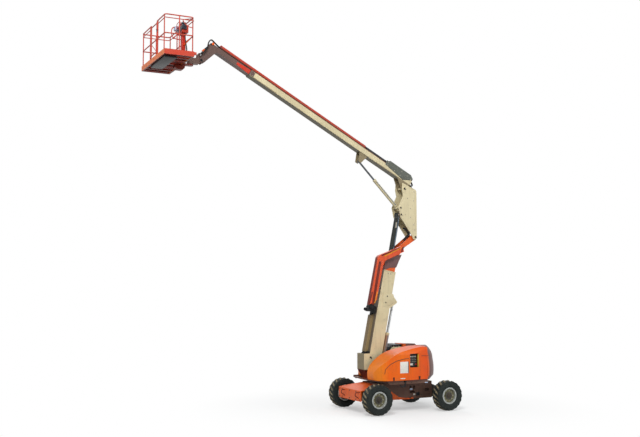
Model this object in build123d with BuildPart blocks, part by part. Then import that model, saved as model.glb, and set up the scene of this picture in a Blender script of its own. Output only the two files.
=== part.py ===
"""Articulating boom lift: a self-propelled aerial work platform, in millimetres.

The origin is on the floor under the slewing axis, +Z is up and the platform hangs out towards -X.
Left and right are an operator's who looks along -X, so left is -Y. The pose is the working one:
tower boom raised, main boom at 28.5 degrees with its fly boom part of the way out.
"""
import os
from math import atan2, cos, degrees, hypot, radians, sin, tan

from build123d import *

# ---------------------------------------------------------------- running gaps
GAP = 6.0           # between pieces that move past each other
SEAT = 0.3          # between pieces that are bolted together
PIN_FIT = 0.05      # radial clearance of a pin in its bore

# ---------------------------------------------------------------- wheels and chassis
WHEELBASE, TRACK = 2490.0, 2150.0
TYRE_R, TYRE_WIDTH, TYRE_TREAD_W = 468.0, 340.0, 290.0
RIM_R, RIM_LIP_R, RIM_WIDTH, RIM_T, LIP_T = 222.0, 252.0, 268.0, 12.0, 26.0
HUB_R, RIM_DISC_T, RIM_DISC_INSET = 118.0, 26.0, 80.0
SPINDLE_R, REDUCER_R = 60.0, 140.0

FRAME_FRONT, FRAME_REAR = -880.0, 1080.0
FRAME_HALF_W, FRAME_BOTTOM, FRAME_TOP, FRAME_WALL = 470.0, 365.0, 865.0, 20.0
NOSE_FACE_X, NOSE_BOTTOM, NOSE_TOP, NOSE_REAR_TOP, NOSE_HALF_W, NOSE_T = -1600.0, 385.0, 705.0, 835.0, 700.0, 25.0
RAIL_T = 12.0
LOOP_R, LOOP_PLACES, LOOP_Z, LOOP_H, LOOP_REACH = 14.0, (-585.0, 300.0), 560.0, 180.0, 125.0
LUG_HOLE_R, LUG_R, LUG_T, LUG_X, LUG_Y, LUG_Z = 30.0, 65.0, 25.0, 1420.0, 230.0, 610.0

AXLE_H, AXLE_DEPTH, AXLE_HALF_LEN = 190.0, 230.0, 760.0
KINGPIN_Y, KINGPIN_R, KNUCKLE_SIZE, FORK_T = 820.0, 30.0, 96.0, 26.0
STEER_ARM, STEER_ARM_T, TIE_ROD_R = 190.0, 24.0, 22.0

# ---------------------------------------------------------------- turntable
BEARING_R, BEARING_TOP, RING_H = 460.0, 932.0, 12.0
DECK_TOP = 960.0
DECK_HALF_W, DECK_FRONT, DECK_REAR = 1060.0, -1010.0, 960.0
SKIRT_BOTTOM, SKIRT_TOP, SKIRT_T, SKIRT_FRONT = 886.0, 998.0, 20.0, -800.0
TURRET_HALF_W, TURRET_T, TURRET_FRONT, TURRET_TOP, TURRET_KNEE = 215.0, 22.0, -1210.0, 1765.0, 1280.0
WALL_Y, WALL_T, WALL_TOP, WALL_FRONT = 352.0, 12.0, 1600.0, -900.0
TAIL_R, TAIL_X, TAIL_BOTTOM, TAIL_TOP = 1225.0, 532.0, 960.3, 1985.0
SLOT_HALF_W, SLOT_FLOOR = 300.0, 1080.0
HOOD_T, HOOD_INNER_Y, HOOD_OUTER_Y, HOOD_REAR_Y, HOOD_REAR_X = 14.0, 372.0, 1160.0, 1095.0, 520.0
HOOD_ROUND = 110.0
HOOD_BOTTOM = 1005.0
HINGE_Y, HINGE_Z, HINGE_R, HINGE_LEN, HINGE_PLACES = 388.0, 1900.0, 8.0, 50.0, (60.0, 400.0)
RIGHT_HINGE_Z, RIGHT_HINGE_PLACES, HINGE_CLEAR = 1905.0, (200.0, 400.0), 12.0
RECESS_X, RECESS_W, RECESS_Z, RECESS_H = 17.0, 330.0, 1585.0, 410.0

# ---------------------------------------------------------------- tower boom
TOWER_ANGLE, TOWER_PIN, TOWER_PIN_R = 78.5, (-984.0, 1651.0), 34.0
TOWER_DEPTH, TOWER_HALF_W, TOWER_WALL = 430.0, 175.0, 12.0
TOWER_FRONT_V = 20.0                      # the boom's front face, from the line through the pin
TOWER_FOOT_U, TOWER_MOUTH_U = -150.0, 2750.0
TOWER_FLY_TAIL_U, TOWER_FLY_GAP, TOWER_FLY_WALL, TOWER_FLY_TIP_U = 620.0, 12.0, 10.0, 3150.0
UPRIGHT_PIN, UPRIGHT_PIN_R = (677.0, 5394.0), 34.0
TOWER_LIFT_FOOT, TOWER_LIFT_EYE = (-520.0, 1150.0), (-40.0, 3330.0)
TOWER_BARREL_R, TOWER_ROD_R, LINK_PIN_R = 66.0, 36.0, 34.0
GUIDE_W, GUIDE_WALL = 142.0, 8.0
TROUGH_LOW_U, TROUGH_TOP_U, TROUGH_DEPTH, TROUGH_HALF_W, TROUGH_WALL, TROUGH_Y = 120.0, 1330.0, 100.0, 92.0, 5.0, 75.0
BAND_LOW_U, BAND_T, BAND_HALF_W = 200.0, 30.0, 70.0
NOTCH_LEN = 270.0
KNEE_HOSE_ROUTE = ((56.0, 4956.0), (168.0, 5085.0), (330.0, 5222.0), (470.0, 5320.0), (560.0, 5405.0))   # x, z
KNEE_HOSE_R, KNEE_HOSE_PLACES = 14.0, (-96.0, -62.0, -28.0)

# ---------------------------------------------------------------- upright
MAIN_PIN, MAIN_PIN_R = (280.0, 6930.0), 36.0
UPRIGHT_IN_HALF_W, UPRIGHT_T = 192.0, 24.0
UPRIGHT_CYL_FOOT, UPRIGHT_CYL_EYE = (-355.0, 3613.0), (150.0, 6100.0)
UPRIGHT_BARREL_R, UPRIGHT_ROD_R, UPRIGHT_CYL_Y = 54.0, 30.0, 62.0
ROD_EYE = 1.33                            # a rod eye's radius, in rod radii

# ---------------------------------------------------------------- main boom
MAIN_ANGLE = 151.5
MAIN_LOW_V, MAIN_DEPTH, MAIN_HALF_W, MAIN_WALL = 215.0, 190.0, 130.0, 8.0
MAIN_TAIL_U, MAIN_MOUTH_U = -170.0, 6148.0
FLY_GAP, FLY_WALL, FLY_TAIL_U, FLY_TIP_U = 10.0, 6.0, 2650.0, 7330.0
MAIN_LIFT_FOOT, MAIN_LIFT_EYE_UV = (135.0, 6317.0), (1735.0, -30.0)
MAIN_BARREL_R, MAIN_ROD_R = 52.0, 30.0
CARRIER_TAIL_U, CARRIER_TIP_U, CARRIER_LOW_V, CARRIER_H = 1780.0, 7280.0, 415.0, 90.0
CARRIER_HALF_W, CARRIER_WALL = 85.0, 4.0
COVER_TAIL_U, COVER_TIP_U, COVER_H, COVER_T = -175.0, 812.0, 140.0, 5.0
TRACK_HALF_W, TRACK_T, TRACK_TAIL_U, TRACK_TIP_U = 62.0, 26.0, 330.0, 3350.0

# ---------------------------------------------------------------- platform
LEVEL_PIN, LEVEL_PIN_R = (-6490.0, 10330.0), 26.0
LEVEL_FOOT_UV, LEVEL_EYE_UV = (7540.0, 350.0), (7705.0, -110.0)
LEVEL_BARREL_R, LEVEL_ROD_R, LEVEL_FOOT_PIN_R = 32.0, 18.0, 16.0
NOSE_PLATE_HALF_W, NOSE_PLATE_T = 106.0, 14.0
ROTATOR_X, ROTATOR_R, ROTATOR_LOW, ROTATOR_TOP = -6800.0, 86.0, 10190.0, 10400.0
SHAFT_R, FLANGE_LOW, BRACKET_HALF_W = 34.0, 10155.0, 100.0
SUPPORT_HALF_W = 84.0
PLATFORM_X, PLATFORM_SHORT, PLATFORM_LONG = -7470.0, 850.0, 2300.0
FLOOR_LOW, FLOOR_T, DECK_BOTTOM, DECK_FRAME_W = 10180.0, 20.0, 10125.0, 50.0
TREAD_INSET, TREAD_SHIFT, TREAD_H = 55.0, 62.0, 4.0
NOSE_HOSE_ROUTE = ((-6120.0, -75.0, 10932.0), (-6215.0, -122.0, 10968.0), (-6292.0, -144.0, 10872.0),    # x, y, z
                   (-6315.0, -146.0, 10725.0), (-6430.0, -146.0, 10550.0), (-6580.0, -147.0, 10462.0))
NOSE_HOSE_R, NOSE_HOSE_PITCH = 15.0, 36.0
PLATFORM_HOSE_ROUTE = ((-6900.0, -140.0, 10440.0), (-6965.0, -215.0, 10405.0), (-6985.0, -400.0, 10385.0),   # x, y, z
                       (-6995.0, -640.0, 10330.0), (-7012.0, -870.0, 10240.0), (-7012.0, -1055.0, 10240.0))
PLATFORM_HOSE_R, PLATFORM_HOSE_PITCH, CLAMP_LEN = 12.0, 24.0, 70.0
TUBE_R, RAIL_TOP, MID_RAIL_Z, TOE_TOP, TOE_T = 17.0, 11245.0, 10710.0, 10270.0, 4.0
GATE_LOW_Y, GATE_HIGH_Y, HINGE_PIN_R = -355.0, 225.0, 8.0


def side_plane(origin, angle, right=True):
    """A side-view plane at y = 0, its x at that angle; its y is 90 degrees to the left of x, or to the right."""
    return Plane(origin=(origin[0], 0, origin[1]), x_dir=(cos(radians(angle)), 0, sin(radians(angle))),
                 z_dir=(0, -1 if right else 1, 0))


SIDE = side_plane((0, 0), 0)
TOWER = side_plane(TOWER_PIN, TOWER_ANGLE)                 # x up the tower boom, y to its front
MAIN = side_plane(MAIN_PIN, MAIN_ANGLE, right=False)       # x to the main boom's tip, y upwards


def on_main(u, v):
    """The side-view place of a point given along and above the main boom."""
    place = MAIN.from_local_coords((u, v, 0))
    return place.X, place.Z


def aim(start, end):
    """The angle and the length of the line from start to end."""
    return degrees(atan2(end[1] - start[1], end[0] - start[0])), hypot(end[0] - start[0], end[1] - start[1])


def across(plane, y):
    """That side-view plane moved to y."""
    return plane.offset(y * plane.z_dir.Y)


def tube_along(plane, at, radius, half_length):
    """A round bar across the machine, centred on y = 0, for use inside a part."""
    with BuildSketch(plane, mode=Mode.PRIVATE) as disc:
        with Locations(at):
            Circle(radius)
    extrude(disc.sketch, amount=half_length, both=True)


def hose(points, radius):
    """A hose along the points, for use inside a part: each corner is as round as its two runs allow."""
    corners = []
    for before, at, after in zip(points, points[1:], points[2:]):
        into, out = Vector(*at) - Vector(*before), Vector(*after) - Vector(*at)
        corners.append(0.45 * min(into.length, out.length) / tan(radians(into.get_angle(out)) / 2))
    with BuildLine(mode=Mode.PRIVATE):
        route = FilletPolyline(*points, radius=corners)
    with BuildSketch(Plane(origin=route @ 0, z_dir=route % 0), mode=Mode.PRIVATE) as ring:
        Circle(radius)
    sweep(ring.sketch, path=route)
    print("hose", round(route.length), "mm, smallest bend", round(min(corners)), "mm")


def save(part, name):
    part.label = name
    export_step(part, f"parts/{name}.step")


os.makedirs("parts", exist_ok=True)

# ================================================================ wheels
DRIVE_X, STEER_X = -WHEELBASE / 2, WHEELBASE / 2
DISC_Y = RIM_WIDTH / 2 - RIM_DISC_INSET
BEAD_Y = RIM_WIDTH / 2 - LIP_T - SEAT
WHEEL_PLACES = [  # name, x, side
    ("drive_left", DRIVE_X, -1), ("drive_right", DRIVE_X, 1),
    ("steer_left", STEER_X, -1), ("steer_right", STEER_X, 1),
]
for place, wheel_x, side in WHEEL_PLACES:
    # The section plane holds the axle: x is the radius and y points outwards from the machine.
    section = Plane(origin=(wheel_x, side * TRACK / 2, TYRE_R), x_dir=(1, 0, 0), z_dir=(0, 0, side))
    axle = Axis((wheel_x, side * TRACK / 2, TYRE_R), (0, 1, 0))
    half = [(TYRE_R, 0), (TYRE_R, TYRE_TREAD_W / 2 - 22), (TYRE_R - 12, TYRE_TREAD_W / 2 + 8),
            (TYRE_R - 70, TYRE_WIDTH / 2), (RIM_LIP_R + 60, TYRE_WIDTH / 2), (RIM_LIP_R + 14, RIM_WIDTH / 2 + 8),
            (RIM_LIP_R + 5, BEAD_Y), (RIM_R + SEAT, BEAD_Y)]
    with BuildPart() as tyre:
        with BuildSketch(section):
            Polygon(*half, *[(x, -y) for x, y in reversed(half[1:])], align=None)
        revolve(axis=axle)
    save(tyre.part, f"tyre_{place}")

    with BuildPart() as rim:
        with BuildSketch(section):
            with Locations((RIM_R - RIM_T / 2, 0)):
                Rectangle(RIM_T, RIM_WIDTH)
            with Locations((RIM_LIP_R - (RIM_LIP_R - RIM_R + RIM_T) / 2, RIM_WIDTH / 2 - LIP_T / 2),
                           (RIM_LIP_R - (RIM_LIP_R - RIM_R + RIM_T) / 2, LIP_T / 2 - RIM_WIDTH / 2)):
                Rectangle(RIM_LIP_R - RIM_R + RIM_T, LIP_T)
            bore = SPINDLE_R + PIN_FIT
            with Locations(((bore + RIM_R - 1) / 2, DISC_Y)):
                Rectangle(RIM_R - 1 - bore, RIM_DISC_T)
            with Locations(((bore + HUB_R) / 2, DISC_Y + RIM_DISC_T)):
                Rectangle(HUB_R - bore, RIM_DISC_T)
        revolve(axis=axle)
    save(rim.part, f"rim_{place}")

# ================================================================ chassis
with BuildPart() as chassis_frame:
    with BuildSketch(SIDE):
        Polygon((FRAME_FRONT, FRAME_TOP), (FRAME_REAR, FRAME_TOP), (FRAME_REAR, FRAME_BOTTOM - 15), (120, FRAME_BOTTOM - 15),
                (FRAME_FRONT + 60, 600), (FRAME_FRONT, 660), align=None)
    extrude(amount=FRAME_HALF_W, both=True)
    with BuildSketch(SIDE):
        Polygon((FRAME_FRONT + FRAME_WALL, FRAME_TOP - FRAME_WALL), (FRAME_REAR - FRAME_WALL, FRAME_TOP - FRAME_WALL),
                (FRAME_REAR - FRAME_WALL, 0), (FRAME_FRONT + FRAME_WALL, 0), align=None)
    extrude(amount=FRAME_HALF_W - FRAME_WALL, both=True, mode=Mode.SUBTRACT)
    # Openings in the side plates, and the fixed half of the slewing bearing.
    with BuildSketch(SIDE):
        with Locations((900, 600)):
            RectangleRounded(170, 85, 20)
        with Locations((300, 700), (420, 690)):
            RectangleRounded(70, 110, 20)
        with Locations((360, 560)):
            RectangleRounded(190, 70, 20)
    extrude(amount=2 * FRAME_HALF_W, both=True, mode=Mode.SUBTRACT)
    with BuildSketch(Plane.XY.offset(FRAME_TOP - 1)):
        Circle(BEARING_R)
    extrude(amount=BEARING_TOP - RING_H - SEAT - FRAME_TOP + 1)
save(chassis_frame.part, "chassis_frame")

with BuildPart() as chassis_nose:
    # The plate across the front, the sloping top plate that ties it to the frame, and the low side rails.
    with BuildSketch(Plane.YZ.offset(NOSE_FACE_X)):
        with Locations((0, (NOSE_BOTTOM + NOSE_TOP) / 2)):
            Rectangle(2 * NOSE_HALF_W, NOSE_TOP - NOSE_BOTTOM)
    extrude(amount=NOSE_T)
    with BuildSketch(SIDE):
        Polygon((NOSE_FACE_X, NOSE_TOP), (FRAME_FRONT - SEAT, NOSE_REAR_TOP), (FRAME_FRONT - SEAT, NOSE_REAR_TOP - NOSE_T),
                (NOSE_FACE_X, NOSE_TOP - NOSE_T), align=None)
    extrude(amount=NOSE_HALF_W, both=True)
    with BuildSketch(Plane.XY.offset(NOSE_TOP - 2 * NOSE_T)):
        for side in (-1, 1):
            Polygon((NOSE_FACE_X + 180, side * (NOSE_HALF_W + 1)), (FRAME_FRONT, side * (NOSE_HALF_W + 1)),
                    (FRAME_FRONT, side * FRAME_HALF_W), align=None)
    extrude(amount=300, mode=Mode.SUBTRACT)
    for side in (-1, 1):
        with BuildSketch(across(SIDE, side * (FRAME_HALF_W + SEAT + RAIL_T / 2))):
            Polygon((NOSE_FACE_X + 5, NOSE_TOP - 5), (NOSE_FACE_X + 5, NOSE_BOTTOM), (FRAME_FRONT, FRAME_BOTTOM - 20),
                    (400, FRAME_BOTTOM - 20), (400, FRAME_BOTTOM - 6), (100, FRAME_BOTTOM + 20), (-140, 425),
                    (-400, 600), (FRAME_FRONT, NOSE_REAR_TOP - 5), align=None)
            with Locations((DRIVE_X, TYRE_R)):
                Rectangle(AXLE_DEPTH + 2 * SEAT, AXLE_H + 2 * SEAT, mode=Mode.SUBTRACT)
        extrude(amount=RAIL_T / 2, both=True)
    # Two loops of bent bar stand out of the front plate.
    for y in LOOP_PLACES:
        with BuildLine(across(SIDE, y)) as bent_bar:
            FilletPolyline((NOSE_FACE_X + 10, LOOP_Z + LOOP_H / 2), (NOSE_FACE_X - LOOP_REACH, LOOP_Z + LOOP_H / 2),
                           (NOSE_FACE_X - LOOP_REACH, LOOP_Z - 10), (NOSE_FACE_X + 10, LOOP_Z - LOOP_H / 2), radius=40)
        with BuildSketch(Plane(origin=bent_bar.line @ 0, z_dir=bent_bar.line % 0)):
            Circle(LOOP_R)
        sweep(path=bent_bar.line)
save(chassis_nose.part, "chassis_nose")

with BuildPart() as drive_axle:
    with BuildSketch(SIDE):
        with Locations((DRIVE_X, TYRE_R)):
            Rectangle(AXLE_DEPTH, AXLE_H)
    extrude(amount=AXLE_HALF_LEN, both=True)
    hub_y = TRACK / 2 + DISC_Y - RIM_DISC_T / 2 - GAP
    for side in (-1, 1):
        with BuildSketch(across(SIDE, side * (AXLE_HALF_LEN - 40))):
            with Locations((DRIVE_X, TYRE_R)):
                Circle(REDUCER_R)
        extrude(amount=-side * (hub_y - AXLE_HALF_LEN + 40))
    tube_along(SIDE, (DRIVE_X, TYRE_R), SPINDLE_R, TRACK / 2 + DISC_Y + 1.5 * RIM_DISC_T + GAP)
save(drive_axle.part, "drive_axle")

FORK_X, FORK_Y, AXLE_WIDE_Y, AXLE_END_Y = 60.0, KINGPIN_Y + 46, 610.0, 715.0
with BuildPart() as steer_axle:
    # The beam narrows towards the forks, so that the steering arms swing past it.
    with BuildSketch(Plane.XY.offset(TYRE_R - AXLE_H / 2)):
        with Locations((STEER_X, 0)):
            Polygon((-AXLE_DEPTH / 2, -AXLE_WIDE_Y), (-FORK_X, -AXLE_END_Y), (FORK_X, -AXLE_END_Y), (AXLE_DEPTH / 2, -AXLE_WIDE_Y),
                    (AXLE_DEPTH / 2, AXLE_WIDE_Y), (FORK_X, AXLE_END_Y), (-FORK_X, AXLE_END_Y), (-AXLE_DEPTH / 2, AXLE_WIDE_Y),
                    align=None)
    extrude(amount=AXLE_H)
    for level in (TYRE_R + AXLE_H / 2 - FORK_T, TYRE_R - AXLE_H / 2):
        with BuildSketch(Plane.XY.offset(level)):
            with Locations((STEER_X, 0)):
                Rectangle(2 * FORK_X, 2 * FORK_Y)
        extrude(amount=FORK_T)
    with BuildSketch(Plane.XY.offset(TYRE_R - AXLE_H / 2 - 14)):
        with Locations((STEER_X, -KINGPIN_Y), (STEER_X, KINGPIN_Y)):
            Circle(KINGPIN_R)
    extrude(amount=AXLE_H + 28)
    # The box that bolts to the frame's rear, and two lugs with tie-down eyes.
    with BuildSketch(SIDE):
        Polygon((FRAME_REAR + SEAT, 430), (STEER_X + 60, TYRE_R + 80), (STEER_X + 90, 690), (FRAME_REAR + SEAT, 800),
                align=None)
    extrude(amount=300, both=True)
    for side in (-1, 1):
        with BuildSketch(Plane.XY.offset(LUG_Z - LUG_T / 2)):
            Polygon((STEER_X + 60, side * LUG_Y - 75), (STEER_X + 60, side * LUG_Y + 75), (LUG_X, side * LUG_Y + LUG_R),
                    (LUG_X, side * LUG_Y - LUG_R), align=None)
            with Locations((LUG_X, side * LUG_Y)):
                Circle(LUG_R)
                Circle(LUG_HOLE_R, mode=Mode.SUBTRACT)
        extrude(amount=LUG_T)
save(steer_axle.part, "steer_axle")

for name, side in (("knuckle_left", -1), ("knuckle_right", 1)):
    with BuildPart() as knuckle:
        with BuildSketch(Plane.XY.offset(TYRE_R - AXLE_H / 2 + FORK_T + GAP)):
            with Locations((STEER_X, side * KINGPIN_Y)):
                Circle(KNUCKLE_SIZE / 2)
        extrude(amount=AXLE_H - 2 * FORK_T - 2 * GAP)
        with BuildSketch(across(SIDE, side * KINGPIN_Y)):
            with Locations((STEER_X, TYRE_R)):
                Circle(SPINDLE_R - 4)
        extrude(amount=-side * (TRACK / 2 - RIM_WIDTH / 2 - KINGPIN_Y))
        with BuildSketch(across(SIDE, side * (TRACK / 2 - RIM_WIDTH / 2))):
            with Locations((STEER_X, TYRE_R)):
                Circle(SPINDLE_R)
        extrude(amount=-side * (RIM_WIDTH / 2 + DISC_Y + 1.5 * RIM_DISC_T + GAP))
        with BuildSketch(Plane.XY.offset(TYRE_R - STEER_ARM_T - 5)):
            with Locations((STEER_X + STEER_ARM / 2, side * (KINGPIN_Y - 10))):
                Rectangle(STEER_ARM + 40, 50)
        extrude(amount=STEER_ARM_T)
        with BuildSketch(Plane.XY.offset(TYRE_R - AXLE_H)):
            with Locations((STEER_X, side * KINGPIN_Y)):
                Circle(KINGPIN_R + PIN_FIT)
        extrude(amount=2 * AXLE_H, mode=Mode.SUBTRACT)
    save(knuckle.part, name)

with BuildPart() as tie_rod:
    with BuildSketch(SIDE):
        with Locations((STEER_X + STEER_ARM, TYRE_R - 5 + SEAT + TIE_ROD_R)):
            Circle(TIE_ROD_R)
    extrude(amount=KINGPIN_Y - 10, both=True)
save(tie_rod.part, "tie_rod")

# ================================================================ turntable
with BuildPart() as turntable_frame:
    with BuildSketch(Plane.XY.offset(BEARING_TOP - RING_H)):
        Circle(BEARING_R - 25)
    extrude(amount=RING_H)
    with BuildSketch(Plane.XY.offset(BEARING_TOP)):
        Polygon((DECK_FRONT, -300), (DECK_FRONT + 120, -DECK_HALF_W), (TAIL_X, -DECK_HALF_W), (DECK_REAR, -TURRET_HALF_W),
                (DECK_REAR, TURRET_HALF_W), (TAIL_X, DECK_HALF_W), (DECK_FRONT + 120, DECK_HALF_W), (DECK_FRONT, 300),
                align=None)
    extrude(amount=DECK_TOP - BEARING_TOP)
    for side in (-1, 1):
        with BuildSketch(across(SIDE, side * (DECK_HALF_W + SKIRT_T / 2 - 1))):
            Polygon((SKIRT_FRONT, SKIRT_BOTTOM), (TAIL_X - 2, SKIRT_BOTTOM), (TAIL_X - 2, SKIRT_TOP - 40), (TAIL_X - 2, SKIRT_TOP),
                    (SKIRT_FRONT - 80, SKIRT_TOP), (SKIRT_FRONT - 80, DECK_TOP - 10), align=None)
        extrude(amount=SKIRT_T / 2, both=True)
    # Two turret plates carry the tower boom's pin; a front plate and a sloping foot join them.
    for side, hinge_z, hinge_places in ((-1, HINGE_Z, HINGE_PLACES), (1, RIGHT_HINGE_Z, RIGHT_HINGE_PLACES)):
        with BuildSketch(across(SIDE, side * (TURRET_HALF_W - TURRET_T / 2))):
            Polygon((TURRET_FRONT, TURRET_TOP), (TURRET_FRONT, TURRET_KNEE), (DECK_FRONT + 10, DECK_TOP - 1),
                    (TAIL_X - 40, DECK_TOP - 1), (TAIL_X - 40, 1180), (-420, 1240), (-760, TURRET_TOP), align=None)
        extrude(amount=TURRET_T / 2, both=True)
        with BuildSketch(across(SIDE, side * (WALL_Y + WALL_T / 2))):
            Polygon((WALL_FRONT, DECK_TOP - 1), (TAIL_X - 40, DECK_TOP - 1), (TAIL_X - 40, hinge_z - HINGE_CLEAR),
                    (hinge_places[0] - 60, hinge_z - HINGE_CLEAR), (hinge_places[0] - 400, WALL_TOP - 50),
                    (WALL_FRONT, 1200), align=None)
        extrude(amount=WALL_T / 2, both=True)
        # The fixed leaves and pins of the hood's hinges.
        for x in hinge_places:
            with BuildSketch(Plane.YZ.offset(x)):
                Polygon((side * (WALL_Y + 2), hinge_z - 44), (side * (WALL_Y + 2), hinge_z - HINGE_CLEAR),
                        (side * (HINGE_Y + 11), hinge_z + 11),
                        (side * (HINGE_Y + 11), hinge_z - 11), align=None)
            extrude(amount=20)
            with BuildSketch(Plane.YZ.offset(x)):
                with Locations((side * HINGE_Y, hinge_z)):
                    Circle(HINGE_R)
            extrude(amount=HINGE_LEN + 20)
    with BuildSketch(SIDE):
        Polygon((TURRET_FRONT, TURRET_TOP), (TURRET_FRONT, TURRET_KNEE), (DECK_FRONT + 10, DECK_TOP - 1),
                (DECK_FRONT + 36, DECK_TOP - 1), (TURRET_FRONT + TURRET_T, TURRET_KNEE + 6),
                (TURRET_FRONT + TURRET_T, TURRET_TOP), align=None)
    extrude(amount=TURRET_HALF_W - TURRET_T / 2, both=True)
    tube_along(SIDE, TOWER_PIN, TOWER_PIN_R, TURRET_HALF_W + 12)
    # The lift cylinder's foot: a pin between two ears.
    for side in (-1, 1):
        with BuildSketch(across(SIDE, side * 78)):
            Polygon((TOWER_LIFT_FOOT[0] - 110, DECK_TOP - 1), (TOWER_LIFT_FOOT[0] + 110, DECK_TOP - 1),
                    (TOWER_LIFT_FOOT[0] + 50, TOWER_LIFT_FOOT[1] + 55), (TOWER_LIFT_FOOT[0] - 50, TOWER_LIFT_FOOT[1] + 55),
                    align=None)
        extrude(amount=10, both=True)
    tube_along(SIDE, TOWER_LIFT_FOOT, LINK_PIN_R, 95)
save(turntable_frame.part, "turntable_frame")

with BuildPart() as counterweight:
    with BuildSketch(Plane.XZ):
        with BuildLine():
            Polyline((300, TAIL_TOP), (300, TAIL_BOTTOM), (TAIL_R - 120, TAIL_BOTTOM), (TAIL_R - 12, 1090))
            ThreePointArc((TAIL_R - 12, 1090), (TAIL_R, 1300), (TAIL_R - 35, 1600))
            ThreePointArc((TAIL_R - 35, 1600), (TAIL_R - 95, 1830), (TAIL_R - 230, TAIL_TOP))
            Line((TAIL_R - 230, TAIL_TOP), (300, TAIL_TOP))
        make_face()
    revolve(axis=Axis.Z)
    with BuildSketch(Plane.XY.offset(TAIL_BOTTOM - 10)):
        with Locations((TAIL_X - 1000, 0)):
            Rectangle(2000, 3000)
        with Locations(((DECK_REAR + GAP) / 2, 0)):
            Rectangle(DECK_REAR + GAP, 2 * SLOT_HALF_W)
    extrude(amount=1200, mode=Mode.SUBTRACT)
    with BuildSketch(Plane.XY.offset(SLOT_FLOOR)):
        with Locations((1000, 0)):
            Rectangle(1200, 2 * SLOT_HALF_W)
    extrude(amount=1000, mode=Mode.SUBTRACT)
save(counterweight.part, "counterweight")

with BuildPart() as engine_block:
    with BuildSketch(Plane.XY.offset(DECK_TOP + SEAT)):
        with Locations((150, 690)):
            Rectangle(680, 480)
    extrude(amount=620)
save(engine_block.part, "engine_block")

with BuildPart() as fluid_tank:
    with BuildSketch(Plane.XY.offset(DECK_TOP + SEAT)):
        with Locations((-560, -690)):
            Rectangle(460, 480)
    extrude(amount=420)
save(fluid_tank.part, "fluid_tank")

with BuildPart() as ground_control:
    with BuildSketch(Plane.XY.offset(DECK_TOP + SEAT)):
        with Locations((RECESS_X, -950)):
            Rectangle(RECESS_W - 40, 200)
    extrude(amount=RECESS_Z + RECESS_H / 2 - 20 - DECK_TOP)
save(ground_control.part, "ground_control")

HOODS = [  # name, side, hinge height, hinge places, and seven points of the ridge from the front foot to the rear
    ("hood_left", -1, HINGE_Z, HINGE_PLACES, [
        (-1165, HOOD_BOTTOM), (-1190, 1200), (-1105, 1425), (-700, 1745), (-300, 1880), (120, 1957), (HOOD_REAR_X, 1992)]),
    ("hood_right", 1, RIGHT_HINGE_Z, RIGHT_HINGE_PLACES, [
        (-800, HOOD_BOTTOM), (-850, 1150), (-790, 1330), (-500, 1640), (-100, 1830), (200, 1950), (HOOD_REAR_X, 1990)]),
]


def height_at(ridge, x):
    """The ridge's height at that x, along straight lines between its points."""
    for (x0, z0), (x1, z1) in zip(ridge, ridge[1:]):
        if x0 <= x <= x1:
            return z0 + (z1 - z0) * (x - x0) / (x1 - x0)


def hood_block(side, ridge, inset):
    """The hood's outline in side view and in plan, drawn in by inset: the outside, or the hollow in it."""
    foot, nose, brow, crown, shoulder, top, rear = ridge
    with BuildPart() as block:
        with BuildSketch(SIDE):
            with BuildLine():
                ThreePointArc((foot[0] + inset, foot[1]), (nose[0] + inset, nose[1]), (brow[0] + inset, brow[1] - inset / 2))
                ThreePointArc((brow[0] + inset, brow[1] - inset / 2), (crown[0] + inset / 2, crown[1] - inset),
                              (shoulder[0], shoulder[1] - inset))
                ThreePointArc((shoulder[0], shoulder[1] - inset), (top[0], top[1] - inset), (rear[0], rear[1] - inset))
                Polyline((rear[0], rear[1] - inset), (rear[0], foot[1]), (foot[0] + inset, foot[1]))
            make_face()
        extrude(amount=HOOD_OUTER_Y + 100, both=True)
        with BuildSketch(Plane.XY.offset(HOOD_BOTTOM)):
            with BuildLine():
                front, turn = nose[0] + inset, nose[0] + 330
                Polyline((front, side * HOOD_INNER_Y), (front, side * (HOOD_OUTER_Y - 480)))
                ThreePointArc((front, side * (HOOD_OUTER_Y - 480)), (front + 85, side * (HOOD_OUTER_Y - 190 - inset)),
                              (turn, side * (HOOD_OUTER_Y - inset)))
                Polyline((turn, side * (HOOD_OUTER_Y - inset)), (HOOD_REAR_X - 550, side * (HOOD_OUTER_Y - inset)),
                         (HOOD_REAR_X, side * (HOOD_REAR_Y - inset)), (HOOD_REAR_X, side * HOOD_INNER_Y),
                         (front, side * HOOD_INNER_Y))
            make_face()
        extrude(amount=1300, mode=Mode.INTERSECT)
        # The long outer edge is rounded over.
        with BuildSketch(Plane.YZ.offset(nose[0] - 100)):
            with BuildLine():
                edge_y, edge_z = HOOD_OUTER_Y - inset, top[1] - inset
                Polyline((side * HOOD_INNER_Y, HOOD_BOTTOM), (side * HOOD_INNER_Y, edge_z + 20),
                         (side * (edge_y - HOOD_ROUND), edge_z + 20))
                ThreePointArc((side * (edge_y - HOOD_ROUND), edge_z + 20), (side * (edge_y - 45), edge_z - 75),
                              (side * edge_y, edge_z - 190))
                Polyline((side * edge_y, edge_z - 190), (side * edge_y, HOOD_BOTTOM), (side * HOOD_INNER_Y, HOOD_BOTTOM))
            make_face()
        extrude(amount=HOOD_REAR_X - nose[0] + 200, mode=Mode.INTERSECT)
    return block.part


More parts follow.
